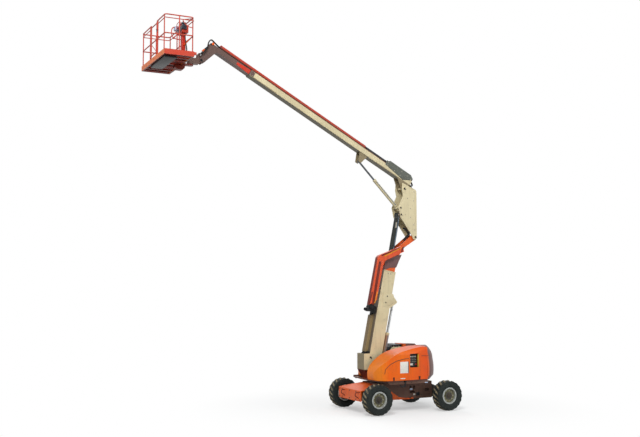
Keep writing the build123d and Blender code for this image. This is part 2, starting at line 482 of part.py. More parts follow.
for name, side, hinge_z, hinge_places, ridge in HOODS:
    shell = hood_block(side, ridge, 0.0)
    hollow = hood_block(side, ridge, HOOD_T)
    with BuildPart() as hood:
        add(shell)
        add(hollow, mode=Mode.SUBTRACT)
        for x in hinge_places:
            with BuildSketch(Plane.YZ.offset(x + 20 + SEAT)):
                knuckle_top = height_at(ridge, x + 20) - HOOD_T / 2
                with Locations((side * (HINGE_Y - 2), (knuckle_top + hinge_z - 12) / 2)):
                    Rectangle(28, knuckle_top - hinge_z + 12)
            extrude(amount=HINGE_LEN - 4)
            with BuildSketch(Plane.YZ.offset(x + 20 + SEAT)):
                with Locations((side * HINGE_Y, hinge_z)):
                    Circle(HINGE_R + PIN_FIT)
            extrude(amount=HINGE_LEN, mode=Mode.SUBTRACT)
        if side < 0:
            with BuildSketch(Plane.XZ.offset(HOOD_OUTER_Y - 150)):
                with Locations((RECESS_X, RECESS_Z)):
                    RectangleRounded(RECESS_W, RECESS_H, 30)
            extrude(amount=300, mode=Mode.SUBTRACT)
    save(hood.part, name)

# ================================================================ tower boom
TOWER_BACK_V = TOWER_FRONT_V - TOWER_DEPTH
TOWER_MID_V = (TOWER_FRONT_V + TOWER_BACK_V) / 2
with BuildPart() as tower_base:
    with BuildSketch(TOWER):
        Polygon((TOWER_FOOT_U + 60, TOWER_FRONT_V), (TOWER_MOUTH_U, TOWER_FRONT_V), (TOWER_MOUTH_U, TOWER_BACK_V),
                (TOWER_FOOT_U + 150, TOWER_BACK_V), (TOWER_FOOT_U, TOWER_BACK_V + 180), (TOWER_FOOT_U, TOWER_FRONT_V - 70),
                align=None)
    extrude(amount=TOWER_HALF_W, both=True)
    with BuildSketch(TOWER):
        with Locations(((TOWER_FOOT_U + TOWER_MOUTH_U) / 2, TOWER_MID_V)):
            Rectangle(TOWER_MOUTH_U - TOWER_FOOT_U + 200, TOWER_DEPTH - 2 * TOWER_WALL)
    extrude(amount=TOWER_HALF_W - TOWER_WALL, both=True, mode=Mode.SUBTRACT)
    # Bearing bosses at the pin, and the two plates of the lift cylinder's bracket with their stub pins.
    lift_eye = TOWER.to_local_coords(Vector(TOWER_LIFT_EYE[0], 0, TOWER_LIFT_EYE[1]))
    for side in (-1, 1):
        with BuildSketch(across(TOWER, side * (TOWER_HALF_W - 20))):
            Circle(TOWER_PIN_R + 26)
        extrude(amount=19, both=True)
        with BuildSketch(across(TOWER, side * (TOWER_HALF_W - 10))):
            Polygon((lift_eye.X - 240, TOWER_BACK_V + 8), (lift_eye.X + 235, TOWER_BACK_V + 8),
                    (lift_eye.X + 48, lift_eye.Y - 15), (lift_eye.X + 25, lift_eye.Y - 43), (lift_eye.X - 15, lift_eye.Y - 46),
                    (lift_eye.X - 48, lift_eye.Y - 20), align=None)
        extrude(amount=10, both=True)
        with BuildSketch(across(TOWER, side * (TOWER_HALF_W - 40))):
            with Locations((lift_eye.X, lift_eye.Y)):
                Circle(30)
        extrude(amount=30, both=True)
    with BuildSketch(TOWER):
        Circle(TOWER_PIN_R + PIN_FIT)
    extrude(amount=TOWER_HALF_W + 50, both=True, mode=Mode.SUBTRACT)
    # Wear pads inside the mouth.
    pad_t = TOWER_FLY_GAP - SEAT
    for side in (-1, 1):
        with BuildSketch(TOWER):
            with Locations((TOWER_MOUTH_U - 90, TOWER_MID_V + side * (TOWER_DEPTH / 2 - TOWER_WALL - pad_t / 2))):
                Rectangle(150, pad_t)
        extrude(amount=90, both=True)
        with BuildSketch(across(TOWER, side * (TOWER_HALF_W - TOWER_WALL - pad_t / 2))):
            with Locations((TOWER_MOUTH_U - 90, TOWER_MID_V)):
                Rectangle(150, 200)
        extrude(amount=pad_t / 2, both=True)
save(tower_base.part, "tower_base")

FLY_FRONT_V = TOWER_FRONT_V - TOWER_WALL - TOWER_FLY_GAP
FLY_BACK_V = TOWER_BACK_V + TOWER_WALL + TOWER_FLY_GAP
FLY_HALF_W = TOWER_HALF_W - TOWER_WALL - TOWER_FLY_GAP
knee = TOWER.to_local_coords(Vector(UPRIGHT_PIN[0], 0, UPRIGHT_PIN[1]))
with BuildPart() as tower_fly:
    with BuildSketch(TOWER):
        Polygon((TOWER_FLY_TAIL_U, FLY_FRONT_V), (TOWER_FLY_TIP_U, FLY_FRONT_V), (TOWER_FLY_TIP_U + 525, FLY_FRONT_V - 457),
                (knee.X + 50, knee.Y + 95), (knee.X + 95, knee.Y + 10), (knee.X + 50, knee.Y - 75), (knee.X - 60, knee.Y - 75),
                (knee.X - 440, FLY_BACK_V - 165), (TOWER_FLY_TIP_U, FLY_BACK_V), (TOWER_FLY_TAIL_U, FLY_BACK_V), align=None)
    extrude(amount=FLY_HALF_W, both=True)
    with BuildSketch(TOWER):
        Polygon((TOWER_FLY_TAIL_U - 10, FLY_FRONT_V - TOWER_FLY_WALL), (TOWER_FLY_TIP_U, FLY_FRONT_V - TOWER_FLY_WALL),
                (TOWER_FLY_TIP_U, 200), (knee.X + 200, 200), (knee.X + 200, knee.Y - 200), (knee.X - 60, knee.Y - 40),
                (knee.X - 430, FLY_BACK_V - 148), (TOWER_FLY_TIP_U - 8, FLY_BACK_V + TOWER_FLY_WALL),
                (TOWER_FLY_TAIL_U - 10, FLY_BACK_V + TOWER_FLY_WALL), align=None)
    extrude(amount=FLY_HALF_W - TOWER_FLY_WALL, both=True, mode=Mode.SUBTRACT)
    # The front wall is cut back where the upright's cylinders swing past it.
    with BuildSketch(TOWER):
        with Locations((TOWER_FLY_TIP_U - NOTCH_LEN, FLY_FRONT_V - 40)):
            Rectangle(NOTCH_LEN + 20, 100, align=(Align.MIN, Align.MIN))
    extrude(amount=FLY_HALF_W - TOWER_FLY_WALL, both=True, mode=Mode.SUBTRACT)
    tube_along(TOWER, (knee.X, knee.Y), UPRIGHT_PIN_R + 22, FLY_HALF_W)
    with BuildSketch(TOWER):
        with Locations((knee.X, knee.Y)):
            Circle(UPRIGHT_PIN_R + PIN_FIT)
    extrude(amount=FLY_HALF_W + 5, both=True, mode=Mode.SUBTRACT)
    # The cross plate that the knee's hoses come through.
    hose_angle = aim(KNEE_HOSE_ROUTE[0], KNEE_HOSE_ROUTE[1])[0]
    with BuildSketch(side_plane(KNEE_HOSE_ROUTE[0], hose_angle)):
        with Locations((-SEAT, 0)):
            Rectangle(12, 60, align=(Align.MAX, Align.CENTER))
    extrude(amount=FLY_HALF_W - 2, both=True)
    # Wear pads on the tail.
    for side in (-1, 1):
        with BuildSketch(TOWER):
            with Locations((TOWER_FLY_TAIL_U + 90, TOWER_MID_V + side * (TOWER_DEPTH / 2 - TOWER_WALL - SEAT - pad_t / 2))):
                Rectangle(150, pad_t)
        extrude(amount=90, both=True)
        with BuildSketch(across(TOWER, side * (FLY_HALF_W + pad_t / 2))):
            with Locations((TOWER_FLY_TAIL_U + 90, TOWER_MID_V)):
                Rectangle(150, 200)
        extrude(amount=pad_t / 2, both=True)
save(tower_fly.part, "tower_fly")

with BuildPart() as tower_guide:
    # A cranked box that carries the hoses up the front of the tower and over the gooseneck's left side.
    guide_mid_y = -(FLY_HALF_W + SEAT + GUIDE_W / 2)
    with BuildSketch(across(TOWER, guide_mid_y)):
        Polygon((1560, 405), (3055, 388), (3130, 340), (3605, -440), (3435, -515), (3000, 115), (2800, 150), (1750, 165),
                align=None)
    extrude(amount=GUIDE_W / 2, both=True)
    with BuildSketch(across(TOWER, guide_mid_y)):
        Polygon((1530, 395), (3050, 378), (3120, 332), (3625, -470), (3455, -520), (3007, 125), (2803, 160), (1700, 175),
                align=None)
    extrude(amount=GUIDE_W / 2 - GUIDE_WALL, both=True, mode=Mode.SUBTRACT)
save(tower_guide.part, "tower_guide")

with BuildPart() as tower_trough:
    # A channel on the boom's front in which the hose band runs.
    with BuildSketch(across(TOWER, TROUGH_Y)):
        Polygon((TROUGH_LOW_U, TOWER_FRONT_V + SEAT), (TROUGH_TOP_U, TOWER_FRONT_V + SEAT),
                (TROUGH_TOP_U - 40, TOWER_FRONT_V + TROUGH_DEPTH), (TROUGH_LOW_U + 30, TOWER_FRONT_V + TROUGH_DEPTH),
                align=None)
    extrude(amount=TROUGH_HALF_W, both=True)
    with BuildSketch(across(TOWER, TROUGH_Y)):
        with Locations(((TROUGH_LOW_U + TROUGH_TOP_U) / 2, TOWER_FRONT_V + (TROUGH_DEPTH - TROUGH_WALL) / 2)):
            Rectangle(TROUGH_TOP_U - TROUGH_LOW_U + 100, TROUGH_DEPTH - TROUGH_WALL - 2 * SEAT)
    extrude(amount=TROUGH_HALF_W - TROUGH_WALL, both=True, mode=Mode.SUBTRACT)
    with BuildSketch(across(TOWER, TROUGH_Y)):
        with Locations(((TROUGH_LOW_U + TROUGH_TOP_U) / 2, TOWER_FRONT_V)):
            Rectangle(TROUGH_TOP_U - TROUGH_LOW_U - 200, 30)
    extrude(amount=TROUGH_HALF_W - TROUGH_WALL, both=True, mode=Mode.SUBTRACT)
save(tower_trough.part, "tower_trough")

with BuildPart() as tower_hose_band:
    # The band of hoses: straight in the trough, then a loop across to the guide's foot, with the end roller.
    band_v = TOWER_FRONT_V + TROUGH_DEPTH / 2
    with BuildSketch(across(TOWER, TROUGH_Y)):
        with Locations(((BAND_LOW_U + 1420) / 2, band_v)):
            Rectangle(1420 - BAND_LOW_U, BAND_T)
    extrude(amount=BAND_HALF_W, both=True)
    with BuildSketch(across(TOWER, -30)):
        Polygon((1350, band_v - BAND_T / 2), (1350, band_v + BAND_T / 2), (1440, band_v + 75), (1520, 290), (1600, 250),
                (1560, band_v - BAND_T / 2), align=None)
    extrude(amount=119, both=True)
    with BuildSketch(across(TOWER, guide_mid_y)):
        Polygon((1470, 240), (1470, 300), (1640, 335), (1890, 335), (1890, 210), (1660, 210), align=None)
    extrude(amount=GUIDE_W / 2 - GUIDE_WALL - SEAT, both=True)
    with BuildSketch(across(TOWER, -70)):
        with Locations((1440, 270)):
            Circle(66)
    extrude(amount=120, both=True)
save(tower_hose_band.part, "tower_hose_band")

with BuildPart() as knee_hoses:
    # The hoses along the gooseneck, up to the knee.
    for y in KNEE_HOSE_PLACES:
        hose([(x, y, z) for x, z in KNEE_HOSE_ROUTE], KNEE_HOSE_R)
save(knee_hoses.part, "knee_hoses")

# ================================================================ hydraulic cylinders


CYLINDERS = [  # name, foot, open eye, barrel radius, rod radius, barrel length, closed length, foot's pin, y of each
    ("tower_lift", TOWER_LIFT_FOOT, TOWER_LIFT_EYE, TOWER_BARREL_R, TOWER_ROD_R, 1250.0, 1360.0, LINK_PIN_R, (0,)),
    ("upright", UPRIGHT_CYL_EYE, UPRIGHT_CYL_FOOT, UPRIGHT_BARREL_R, UPRIGHT_ROD_R, 1325.0, 1445.0, LINK_PIN_R,
     (-UPRIGHT_CYL_Y, UPRIGHT_CYL_Y)),
    ("main_lift", MAIN_LIFT_FOOT, on_main(*MAIN_LIFT_EYE_UV), MAIN_BARREL_R, MAIN_ROD_R, 1200.0, 1640.0, LINK_PIN_R, (0,)),
    ("level", on_main(*LEVEL_FOOT_UV), on_main(*LEVEL_EYE_UV), LEVEL_BARREL_R, LEVEL_ROD_R, 320.0, 380.0,
     LEVEL_FOOT_PIN_R, (0,)),
]
for name, foot, eye, barrel_r, rod_r, barrel_len, closed_len, pin_r, places in CYLINDERS:
    angle, length = aim(foot, eye)
    line = side_plane(foot, angle)
    eye_w = min(0.75 * barrel_r, 42.0)
    bottom = barrel_r + 10                            # the bore's bottom, from the foot
    with BuildPart() as barrel:
        for y in places:
            with BuildSketch(Plane(origin=line.from_local_coords((0, 0, -y)), z_dir=line.x_dir)):
                Circle(barrel_r)
            extrude(amount=barrel_len)
            with BuildSketch(across(line, y)):
                Circle(barrel_r + 6)
            extrude(amount=eye_w, both=True)
            with BuildSketch(Plane(origin=line.from_local_coords((barrel_len, 0, -y)), z_dir=-line.x_dir)):
                Circle(rod_r + PIN_FIT)
            extrude(amount=barrel_len - bottom, mode=Mode.SUBTRACT)
        with BuildSketch(line):
            Circle(pin_r + PIN_FIT)
        extrude(amount=300, both=True, mode=Mode.SUBTRACT)
    with BuildPart() as rod:
        for y in places:
            with BuildSketch(Plane(origin=line.from_local_coords((length, 0, -y)), z_dir=-line.x_dir)):
                Circle(rod_r)
            extrude(amount=closed_len - bottom - 10)
            with BuildSketch(across(line, y)):
                with Locations((length, 0)):
                    Circle(rod_r * ROD_EYE)
            extrude(amount=eye_w * 0.8, both=True)
    save(barrel.part, f"{name}_barrel")
    save(rod.part, f"{name}_rod")

# ================================================================ upright
with BuildPart() as upright:
    for side in (-1, 1):
        with BuildSketch(across(SIDE, side * (UPRIGHT_IN_HALF_W + UPRIGHT_T / 2))):
            Polygon((195, 6895), (215, 7108), (330, 7060), (700, 6905), (735, 6850), (735, 5400), (690, 5300),
                    (600, 5330), (560, 5430), (130, 6020), (60, 6330), (235, 6700), align=None)
        extrude(amount=UPRIGHT_T / 2, both=True)
    # The rear web, and the pins of both booms and of the cylinders.
    with BuildSketch(SIDE):
        with Locations((722, 6160)):
            Rectangle(20, 1280)
    extrude(amount=UPRIGHT_IN_HALF_W + 2, both=True)
    tube_along(SIDE, UPRIGHT_PIN, UPRIGHT_PIN_R, UPRIGHT_IN_HALF_W + UPRIGHT_T + 12)
    tube_along(SIDE, MAIN_PIN, MAIN_PIN_R, UPRIGHT_IN_HALF_W + UPRIGHT_T + 12)
    tube_along(SIDE, MAIN_LIFT_FOOT, LINK_PIN_R, UPRIGHT_IN_HALF_W + UPRIGHT_T + 12)
    tube_along(SIDE, UPRIGHT_CYL_EYE, LINK_PIN_R, UPRIGHT_IN_HALF_W + UPRIGHT_T + 12)
save(upright.part, "upright")

# ================================================================ main boom
MAIN_TOP_V = MAIN_LOW_V + MAIN_DEPTH
MAIN_MID_V = (MAIN_LOW_V + MAIN_TOP_V) / 2
with BuildPart() as main_base:
    with BuildSketch(MAIN):
        with Locations(((MAIN_TAIL_U + MAIN_MOUTH_U) / 2, MAIN_MID_V)):
            Rectangle(MAIN_MOUTH_U - MAIN_TAIL_U, MAIN_DEPTH)
    extrude(amount=MAIN_HALF_W, both=True)
    with BuildSketch(MAIN):
        with Locations(((MAIN_TAIL_U + MAIN_MOUTH_U) / 2, MAIN_MID_V)):
            Rectangle(MAIN_MOUTH_U - MAIN_TAIL_U + 20, MAIN_DEPTH - 2 * MAIN_WALL)
    extrude(amount=MAIN_HALF_W - MAIN_WALL, both=True, mode=Mode.SUBTRACT)
    for side in (-1, 1):
        with BuildSketch(across(MAIN, side * (MAIN_HALF_W - 15))):
            Polygon((MAIN_TAIL_U + 20, MAIN_LOW_V + 4), (-62, -30), (-30, -62), (30, -62), (62, -30),
                    (340, MAIN_LOW_V + 4), align=None)
            with Locations((0, 0)):
                Circle(MAIN_PIN_R + PIN_FIT, mode=Mode.SUBTRACT)
        extrude(amount=15, both=True)
        with BuildSketch(across(MAIN, side * 105)):
            eye_u, eye_v = MAIN_LIFT_EYE_UV
            Polygon((eye_u - 150, MAIN_LOW_V + 4), (eye_u + 150, MAIN_LOW_V + 4), (eye_u + 50, eye_v - 45),
                    (eye_u - 50, eye_v - 45), align=None)
        extrude(amount=9, both=True)
        with BuildSketch(across(MAIN, side * 85)):
            with Locations(MAIN_LIFT_EYE_UV):
                Circle(28)
        extrude(amount=20, both=True)
    # Wear pads inside the mouth.
    boom_pad = FLY_GAP - SEAT
    for side in (-1, 1):
        with BuildSketch(MAIN):
            with Locations((MAIN_MOUTH_U - 70, MAIN_MID_V + side * (MAIN_DEPTH / 2 - MAIN_WALL - boom_pad / 2))):
                Rectangle(120, boom_pad)
        extrude(amount=70, both=True)
        with BuildSketch(across(MAIN, side * (MAIN_HALF_W - MAIN_WALL - boom_pad / 2))):
            with Locations((MAIN_MOUTH_U - 70, MAIN_MID_V)):
                Rectangle(120, 120)
        extrude(amount=boom_pad / 2, both=True)
save(main_base.part, "main_base")

with BuildPart() as main_cover:
    # A cover over the boom's tail: a top, two sides and an end, open to the front.
    low_v = MAIN_TOP_V + SEAT
    with BuildSketch(MAIN):
        Polygon((COVER_TAIL_U, low_v), (COVER_TIP_U, low_v), (COVER_TIP_U, low_v + COVER_H),
                (COVER_TAIL_U + 120, low_v + COVER_H), (COVER_TAIL_U, low_v + 60), align=None)
    extrude(amount=MAIN_HALF_W, both=True)
    with BuildSketch(MAIN):
        Polygon((COVER_TAIL_U + COVER_T, low_v - 1), (COVER_TIP_U + 1, low_v - 1), (COVER_TIP_U + 1, low_v + COVER_H - COVER_T),
                (COVER_TAIL_U + 122, low_v + COVER_H - COVER_T), (COVER_TAIL_U + COVER_T, low_v + 58), align=None)
    extrude(amount=MAIN_HALF_W - COVER_T, both=True, mode=Mode.SUBTRACT)
save(main_cover.part, "main_cover")

FLY_LOW_V = MAIN_LOW_V + MAIN_WALL + FLY_GAP
FLY_TOP_V = MAIN_TOP_V - MAIN_WALL - FLY_GAP
MAIN_FLY_HALF_W = MAIN_HALF_W - MAIN_WALL - FLY_GAP
pin_n = MAIN.to_local_coords(Vector(LEVEL_PIN[0], 0, LEVEL_PIN[1]))
with BuildPart() as main_fly:
    with BuildSketch(MAIN):
        with Locations(((FLY_TAIL_U + FLY_TIP_U) / 2, (FLY_LOW_V + FLY_TOP_V) / 2)):
            Rectangle(FLY_TIP_U - FLY_TAIL_U, FLY_TOP_V - FLY_LOW_V)
    extrude(amount=MAIN_FLY_HALF_W, both=True)
    with BuildSketch(MAIN):
        with Locations(((FLY_TAIL_U + FLY_TIP_U) / 2 - 20, (FLY_LOW_V + FLY_TOP_V) / 2)):
            Rectangle(FLY_TIP_U - FLY_TAIL_U, FLY_TOP_V - FLY_LOW_V - 2 * FLY_WALL)
    extrude(amount=MAIN_FLY_HALF_W - FLY_WALL, both=True, mode=Mode.SUBTRACT)
    # The nose: two plates that bend down from the tip to the levelling pin, and the web that joins them.
    for side in (-1, 1):
        with BuildSketch(across(MAIN, side * (NOSE_PLATE_HALF_W - NOSE_PLATE_T / 2))):
            Polygon((FLY_TIP_U - 60, FLY_LOW_V), (FLY_TIP_U - 60, FLY_TOP_V), (FLY_TIP_U + 110, FLY_TOP_V),
                    (LEVEL_FOOT_UV[0] + 42, LEVEL_FOOT_UV[1] + 25), (LEVEL_FOOT_UV[0] + 42, LEVEL_FOOT_UV[1] - 60),
                    (pin_n.X + 66, pin_n.Y + 60), (pin_n.X + 62, pin_n.Y - 15), (pin_n.X + 30, pin_n.Y - 55),
                    (pin_n.X - 20, pin_n.Y - 62), (pin_n.X - 70, pin_n.Y - 62), (FLY_TIP_U - 30, FLY_LOW_V - 10), align=None)
            with Locations((pin_n.X, pin_n.Y)):
                Circle(LEVEL_PIN_R + PIN_FIT, mode=Mode.SUBTRACT)
        extrude(amount=NOSE_PLATE_T / 2, both=True)
    tube_along(MAIN, LEVEL_FOOT_UV, LEVEL_FOOT_PIN_R, NOSE_PLATE_HALF_W)
    with BuildSketch(MAIN):
        Polygon((FLY_TIP_U - 30, FLY_LOW_V - 6), (FLY_TIP_U - 22, FLY_LOW_V + 6), (pin_n.X - 100, pin_n.Y + 10),
                (pin_n.X - 106, pin_n.Y - 2), align=None)
    extrude(amount=NOSE_PLATE_HALF_W - NOSE_PLATE_T / 2, both=True)
    # Wear pads on the tail.
    for side in (-1, 1):
        with BuildSketch(MAIN):
            with Locations((FLY_TAIL_U + 70, MAIN_MID_V + side * (MAIN_DEPTH / 2 - MAIN_WALL - SEAT - boom_pad / 2))):
                Rectangle(120, boom_pad)
        extrude(amount=70, both=True)
        with BuildSketch(across(MAIN, side * (MAIN_FLY_HALF_W + boom_pad / 2))):
            with Locations((FLY_TAIL_U + 70, MAIN_MID_V)):
                Rectangle(120, 120)
        extrude(amount=boom_pad / 2, both=True)
save(main_fly.part, "main_fly")

with BuildPart() as track_carrier:
    carrier_mid_v = CARRIER_LOW_V + CARRIER_H / 2
    with BuildSketch(MAIN):
        with Locations(((CARRIER_TAIL_U + CARRIER_TIP_U) / 2, carrier_mid_v)):
            Rectangle(CARRIER_TIP_U - CARRIER_TAIL_U, CARRIER_H)
    extrude(amount=CARRIER_HALF_W, both=True)
    with BuildSketch(MAIN):
        with Locations(((CARRIER_TAIL_U + CARRIER_TIP_U) / 2, carrier_mid_v)):
            Rectangle(CARRIER_TIP_U - CARRIER_TAIL_U + 20, CARRIER_H - 2 * CARRIER_WALL)
    extrude(amount=CARRIER_HALF_W - CARRIER_WALL, both=True, mode=Mode.SUBTRACT)
    # The foot that bolts it to the fly boom's tip.
    with BuildSketch(MAIN):
        with Locations((CARRIER_TIP_U - 120, (FLY_TOP_V + SEAT + CARRIER_LOW_V + 1) / 2)):
            Rectangle(200, CARRIER_LOW_V + 1 - FLY_TOP_V - SEAT)
    extrude(amount=CARRIER_HALF_W - 20, both=True)
save(track_carrier.part, "track_carrier")

with BuildPart() as power_track:
    # A flat hose track: a long run inside the carrier, a bend, and a short run on the boom.
    track_top_v = CARRIER_LOW_V + CARRIER_H - CARRIER_WALL - GAP
    with BuildSketch(MAIN):
        with Locations((TRACK_TAIL_U, (track_top_v + MAIN_TOP_V + SEAT) / 2)):
            Circle((track_top_v - MAIN_TOP_V - SEAT) / 2)
            Circle((track_top_v - MAIN_TOP_V - SEAT) / 2 - TRACK_T, mode=Mode.SUBTRACT)
            Rectangle(200, 200, align=(Align.MIN, Align.CENTER), mode=Mode.SUBTRACT)
        with Locations(((TRACK_TAIL_U + TRACK_TIP_U) / 2, track_top_v - TRACK_T / 2)):
            Rectangle(TRACK_TIP_U - TRACK_TAIL_U, TRACK_T)
        with Locations((TRACK_TAIL_U + 260, MAIN_TOP_V + SEAT + TRACK_T / 2)):
            Rectangle(520, TRACK_T)
    extrude(amount=TRACK_HALF_W, both=True)
save(power_track.part, "power_track")

with BuildPart() as nose_hoses:
    # Two hoses off the carrier's floor, over the top of the nose and down its left side.
    hose_v, hose_y = CARRIER_LOW_V + CARRIER_WALL + NOSE_HOSE_R + SEAT, -CARRIER_HALF_W / 2 + NOSE_HOSE_PITCH / 2
    inside = [(on_main(u, hose_v)[0], hose_y, on_main(u, hose_v)[1]) for u in (CARRIER_TIP_U - 80, CARRIER_TIP_U + 60)]
    for shift in (0, -NOSE_HOSE_PITCH):
        hose([(x, y + shift, z) for x, y, z in (*inside, *NOSE_HOSE_ROUTE)], NOSE_HOSE_R)
save(nose_hoses.part, "nose_hoses")

# ================================================================ platform support and rotator
with BuildPart() as platform_support:
    lever = on_main(*LEVEL_EYE_UV)
    with BuildSketch(SIDE):
        Polygon((LEVEL_PIN[0] + 48, LEVEL_PIN[1] + 25), (LEVEL_PIN[0] + 48, LEVEL_PIN[1] - 30), (LEVEL_PIN[0] + 10, LEVEL_PIN[1] - 52),
                (LEVEL_PIN[0] - 60, ROTATOR_LOW + 30), (ROTATOR_X, ROTATOR_LOW + 20), (ROTATOR_X, ROTATOR_TOP - 20),
                (ROTATOR_X + 130, ROTATOR_TOP - 15), (LEVEL_PIN[0] - 70, LEVEL_PIN[1] + 70), align=None)
    extrude(amount=SUPPORT_HALF_W, both=True)
    with BuildSketch(Plane.XY.offset(ROTATOR_LOW)):
        with Locations((ROTATOR_X, 0)):
            Circle(ROTATOR_R)
    extrude(amount=ROTATOR_TOP - ROTATOR_LOW)
    with BuildSketch(SIDE):
        with Locations(LEVEL_PIN):
            Circle(LEVEL_PIN_R)
    extrude(amount=NOSE_PLATE_HALF_W + 10, both=True)
    # Two ears for the levelling cylinder's rod.
    for side in (-1, 1):
        with BuildSketch(across(SIDE, side * (SUPPORT_HALF_W - 8))):
            Polygon((LEVEL_PIN[0] - 20, LEVEL_PIN[1] + 30), (LEVEL_PIN[0] - 110, LEVEL_PIN[1] + 30),
                    (lever[0] - 36, lever[1] + 5), (lever[0] - 10, lever[1] + 34), (lever[0] + 28, lever[1] + 20), align=None)
        extrude(amount=8, both=True)
        with BuildSketch(across(SIDE, side * (SUPPORT_HALF_W - 24))):
            with Locations(lever):
                Circle(LEVEL_FOOT_PIN_R)
        extrude(amount=16, both=True)
    with BuildSketch(Plane.XY.offset(ROTATOR_LOW - 1)):
        with Locations((ROTATOR_X, 0)):
            Circle(SHAFT_R + PIN_FIT)
    extrude(amount=61, mode=Mode.SUBTRACT)
save(platform_support.part, "platform_support")

EDGE_X = PLATFORM_X + PLATFORM_SHORT / 2
with BuildPart() as platform_bracket:
    # A flange under the rotator, with its shaft, and the box under the floor that it carries.
    with BuildSketch(SIDE):
        Polygon((ROTATOR_X, ROTATOR_LOW - SEAT), (ROTATOR_X, FLANGE_LOW), (EDGE_X + 90, FLANGE_LOW), (EDGE_X + 65, 10050),
                (EDGE_X + 15, 10000), (EDGE_X - 160, 10000), (EDGE_X - 220, 10050), (EDGE_X - 220, DECK_BOTTOM - SEAT),
                (EDGE_X + 8, DECK_BOTTOM - SEAT), (EDGE_X + 8, ROTATOR_LOW - SEAT), align=None)
    extrude(amount=BRACKET_HALF_W, both=True)
    with BuildSketch(Plane.XY.offset(FLANGE_LOW)):
        with Locations((ROTATOR_X, 0)):
            Circle(BRACKET_HALF_W)
    extrude(amount=ROTATOR_LOW - SEAT - FLANGE_LOW)
    with BuildSketch(Plane.XY.offset(FLANGE_LOW)):
        with Locations((ROTATOR_X, 0)):
            Circle(SHAFT_R)
    extrude(amount=ROTATOR_LOW + 55 - FLANGE_LOW)
save(platform_bracket.part, "platform_bracket")

with BuildPart() as platform_floor:
    with BuildSketch(Plane.XY.offset(FLOOR_LOW)):
        with Locations((PLATFORM_X, 0)):
            Rectangle(PLATFORM_SHORT - 2 * TOE_T, PLATFORM_LONG - 2 * TOE_T)
    extrude(amount=FLOOR_T)
    with BuildSketch(Plane.XY.offset(DECK_BOTTOM)):
        with Locations((PLATFORM_X, 0)):
            Rectangle(PLATFORM_SHORT - 2 * TOE_T, PLATFORM_LONG - 2 * TOE_T)
            Rectangle(PLATFORM_SHORT - 2 * DECK_FRAME_W, PLATFORM_LONG - 2 * DECK_FRAME_W, mode=Mode.SUBTRACT)
            with GridLocations(0, PLATFORM_LONG / 6, 1, 5):
                Rectangle(PLATFORM_SHORT - 20, DECK_FRAME_W)
    extrude(amount=FLOOR_LOW - DECK_BOTTOM)
    # The raised tread panel that is stood on, then the toe-boards.
    with BuildSketch(Plane.XY.offset(FLOOR_LOW + FLOOR_T - 1)):
        with Locations((PLATFORM_X - TREAD_SHIFT, 0)):
            RectangleRounded(PLATFORM_SHORT - 2 * TREAD_INSET - 2 * TREAD_SHIFT, PLATFORM_LONG - 2 * TREAD_INSET, 30)
    extrude(amount=TREAD_H + 1)
    with BuildSketch(Plane.XY.offset(DECK_BOTTOM)):
        with Locations((PLATFORM_X, 0)):
            Rectangle(PLATFORM_SHORT, PLATFORM_LONG)
            Rectangle(PLATFORM_SHORT - 2 * TOE_T, PLATFORM_LONG - 2 * TOE_T, mode=Mode.SUBTRACT)
    extrude(amount=TOE_TOP - DECK_BOTTOM)
    # The clamp on the toe-board that the hoses run into.
    hose_end = PLATFORM_HOSE_ROUTE[-1]
    with BuildSketch(Plane.XZ.offset(-hose_end[1] + SEAT)):
        with Locations((EDGE_X - 2, hose_end[2] - PLATFORM_HOSE_PITCH / 2)):
            Rectangle(75, 70, align=(Align.MIN, Align.CENTER))
    extrude(amount=CLAMP_LEN)
save(platform_floor.part, "platform_floor")

with BuildPart() as platform_hoses:
    # Two hoses from beside the rotator, along the platform's inner edge to their clamp.
    for shift in (0, PLATFORM_HOSE_PITCH):
        hose([(x + shift, y, z - shift) for x, y, z in PLATFORM_HOSE_ROUTE], PLATFORM_HOSE_R)
save(platform_hoses.part, "platform_hoses")

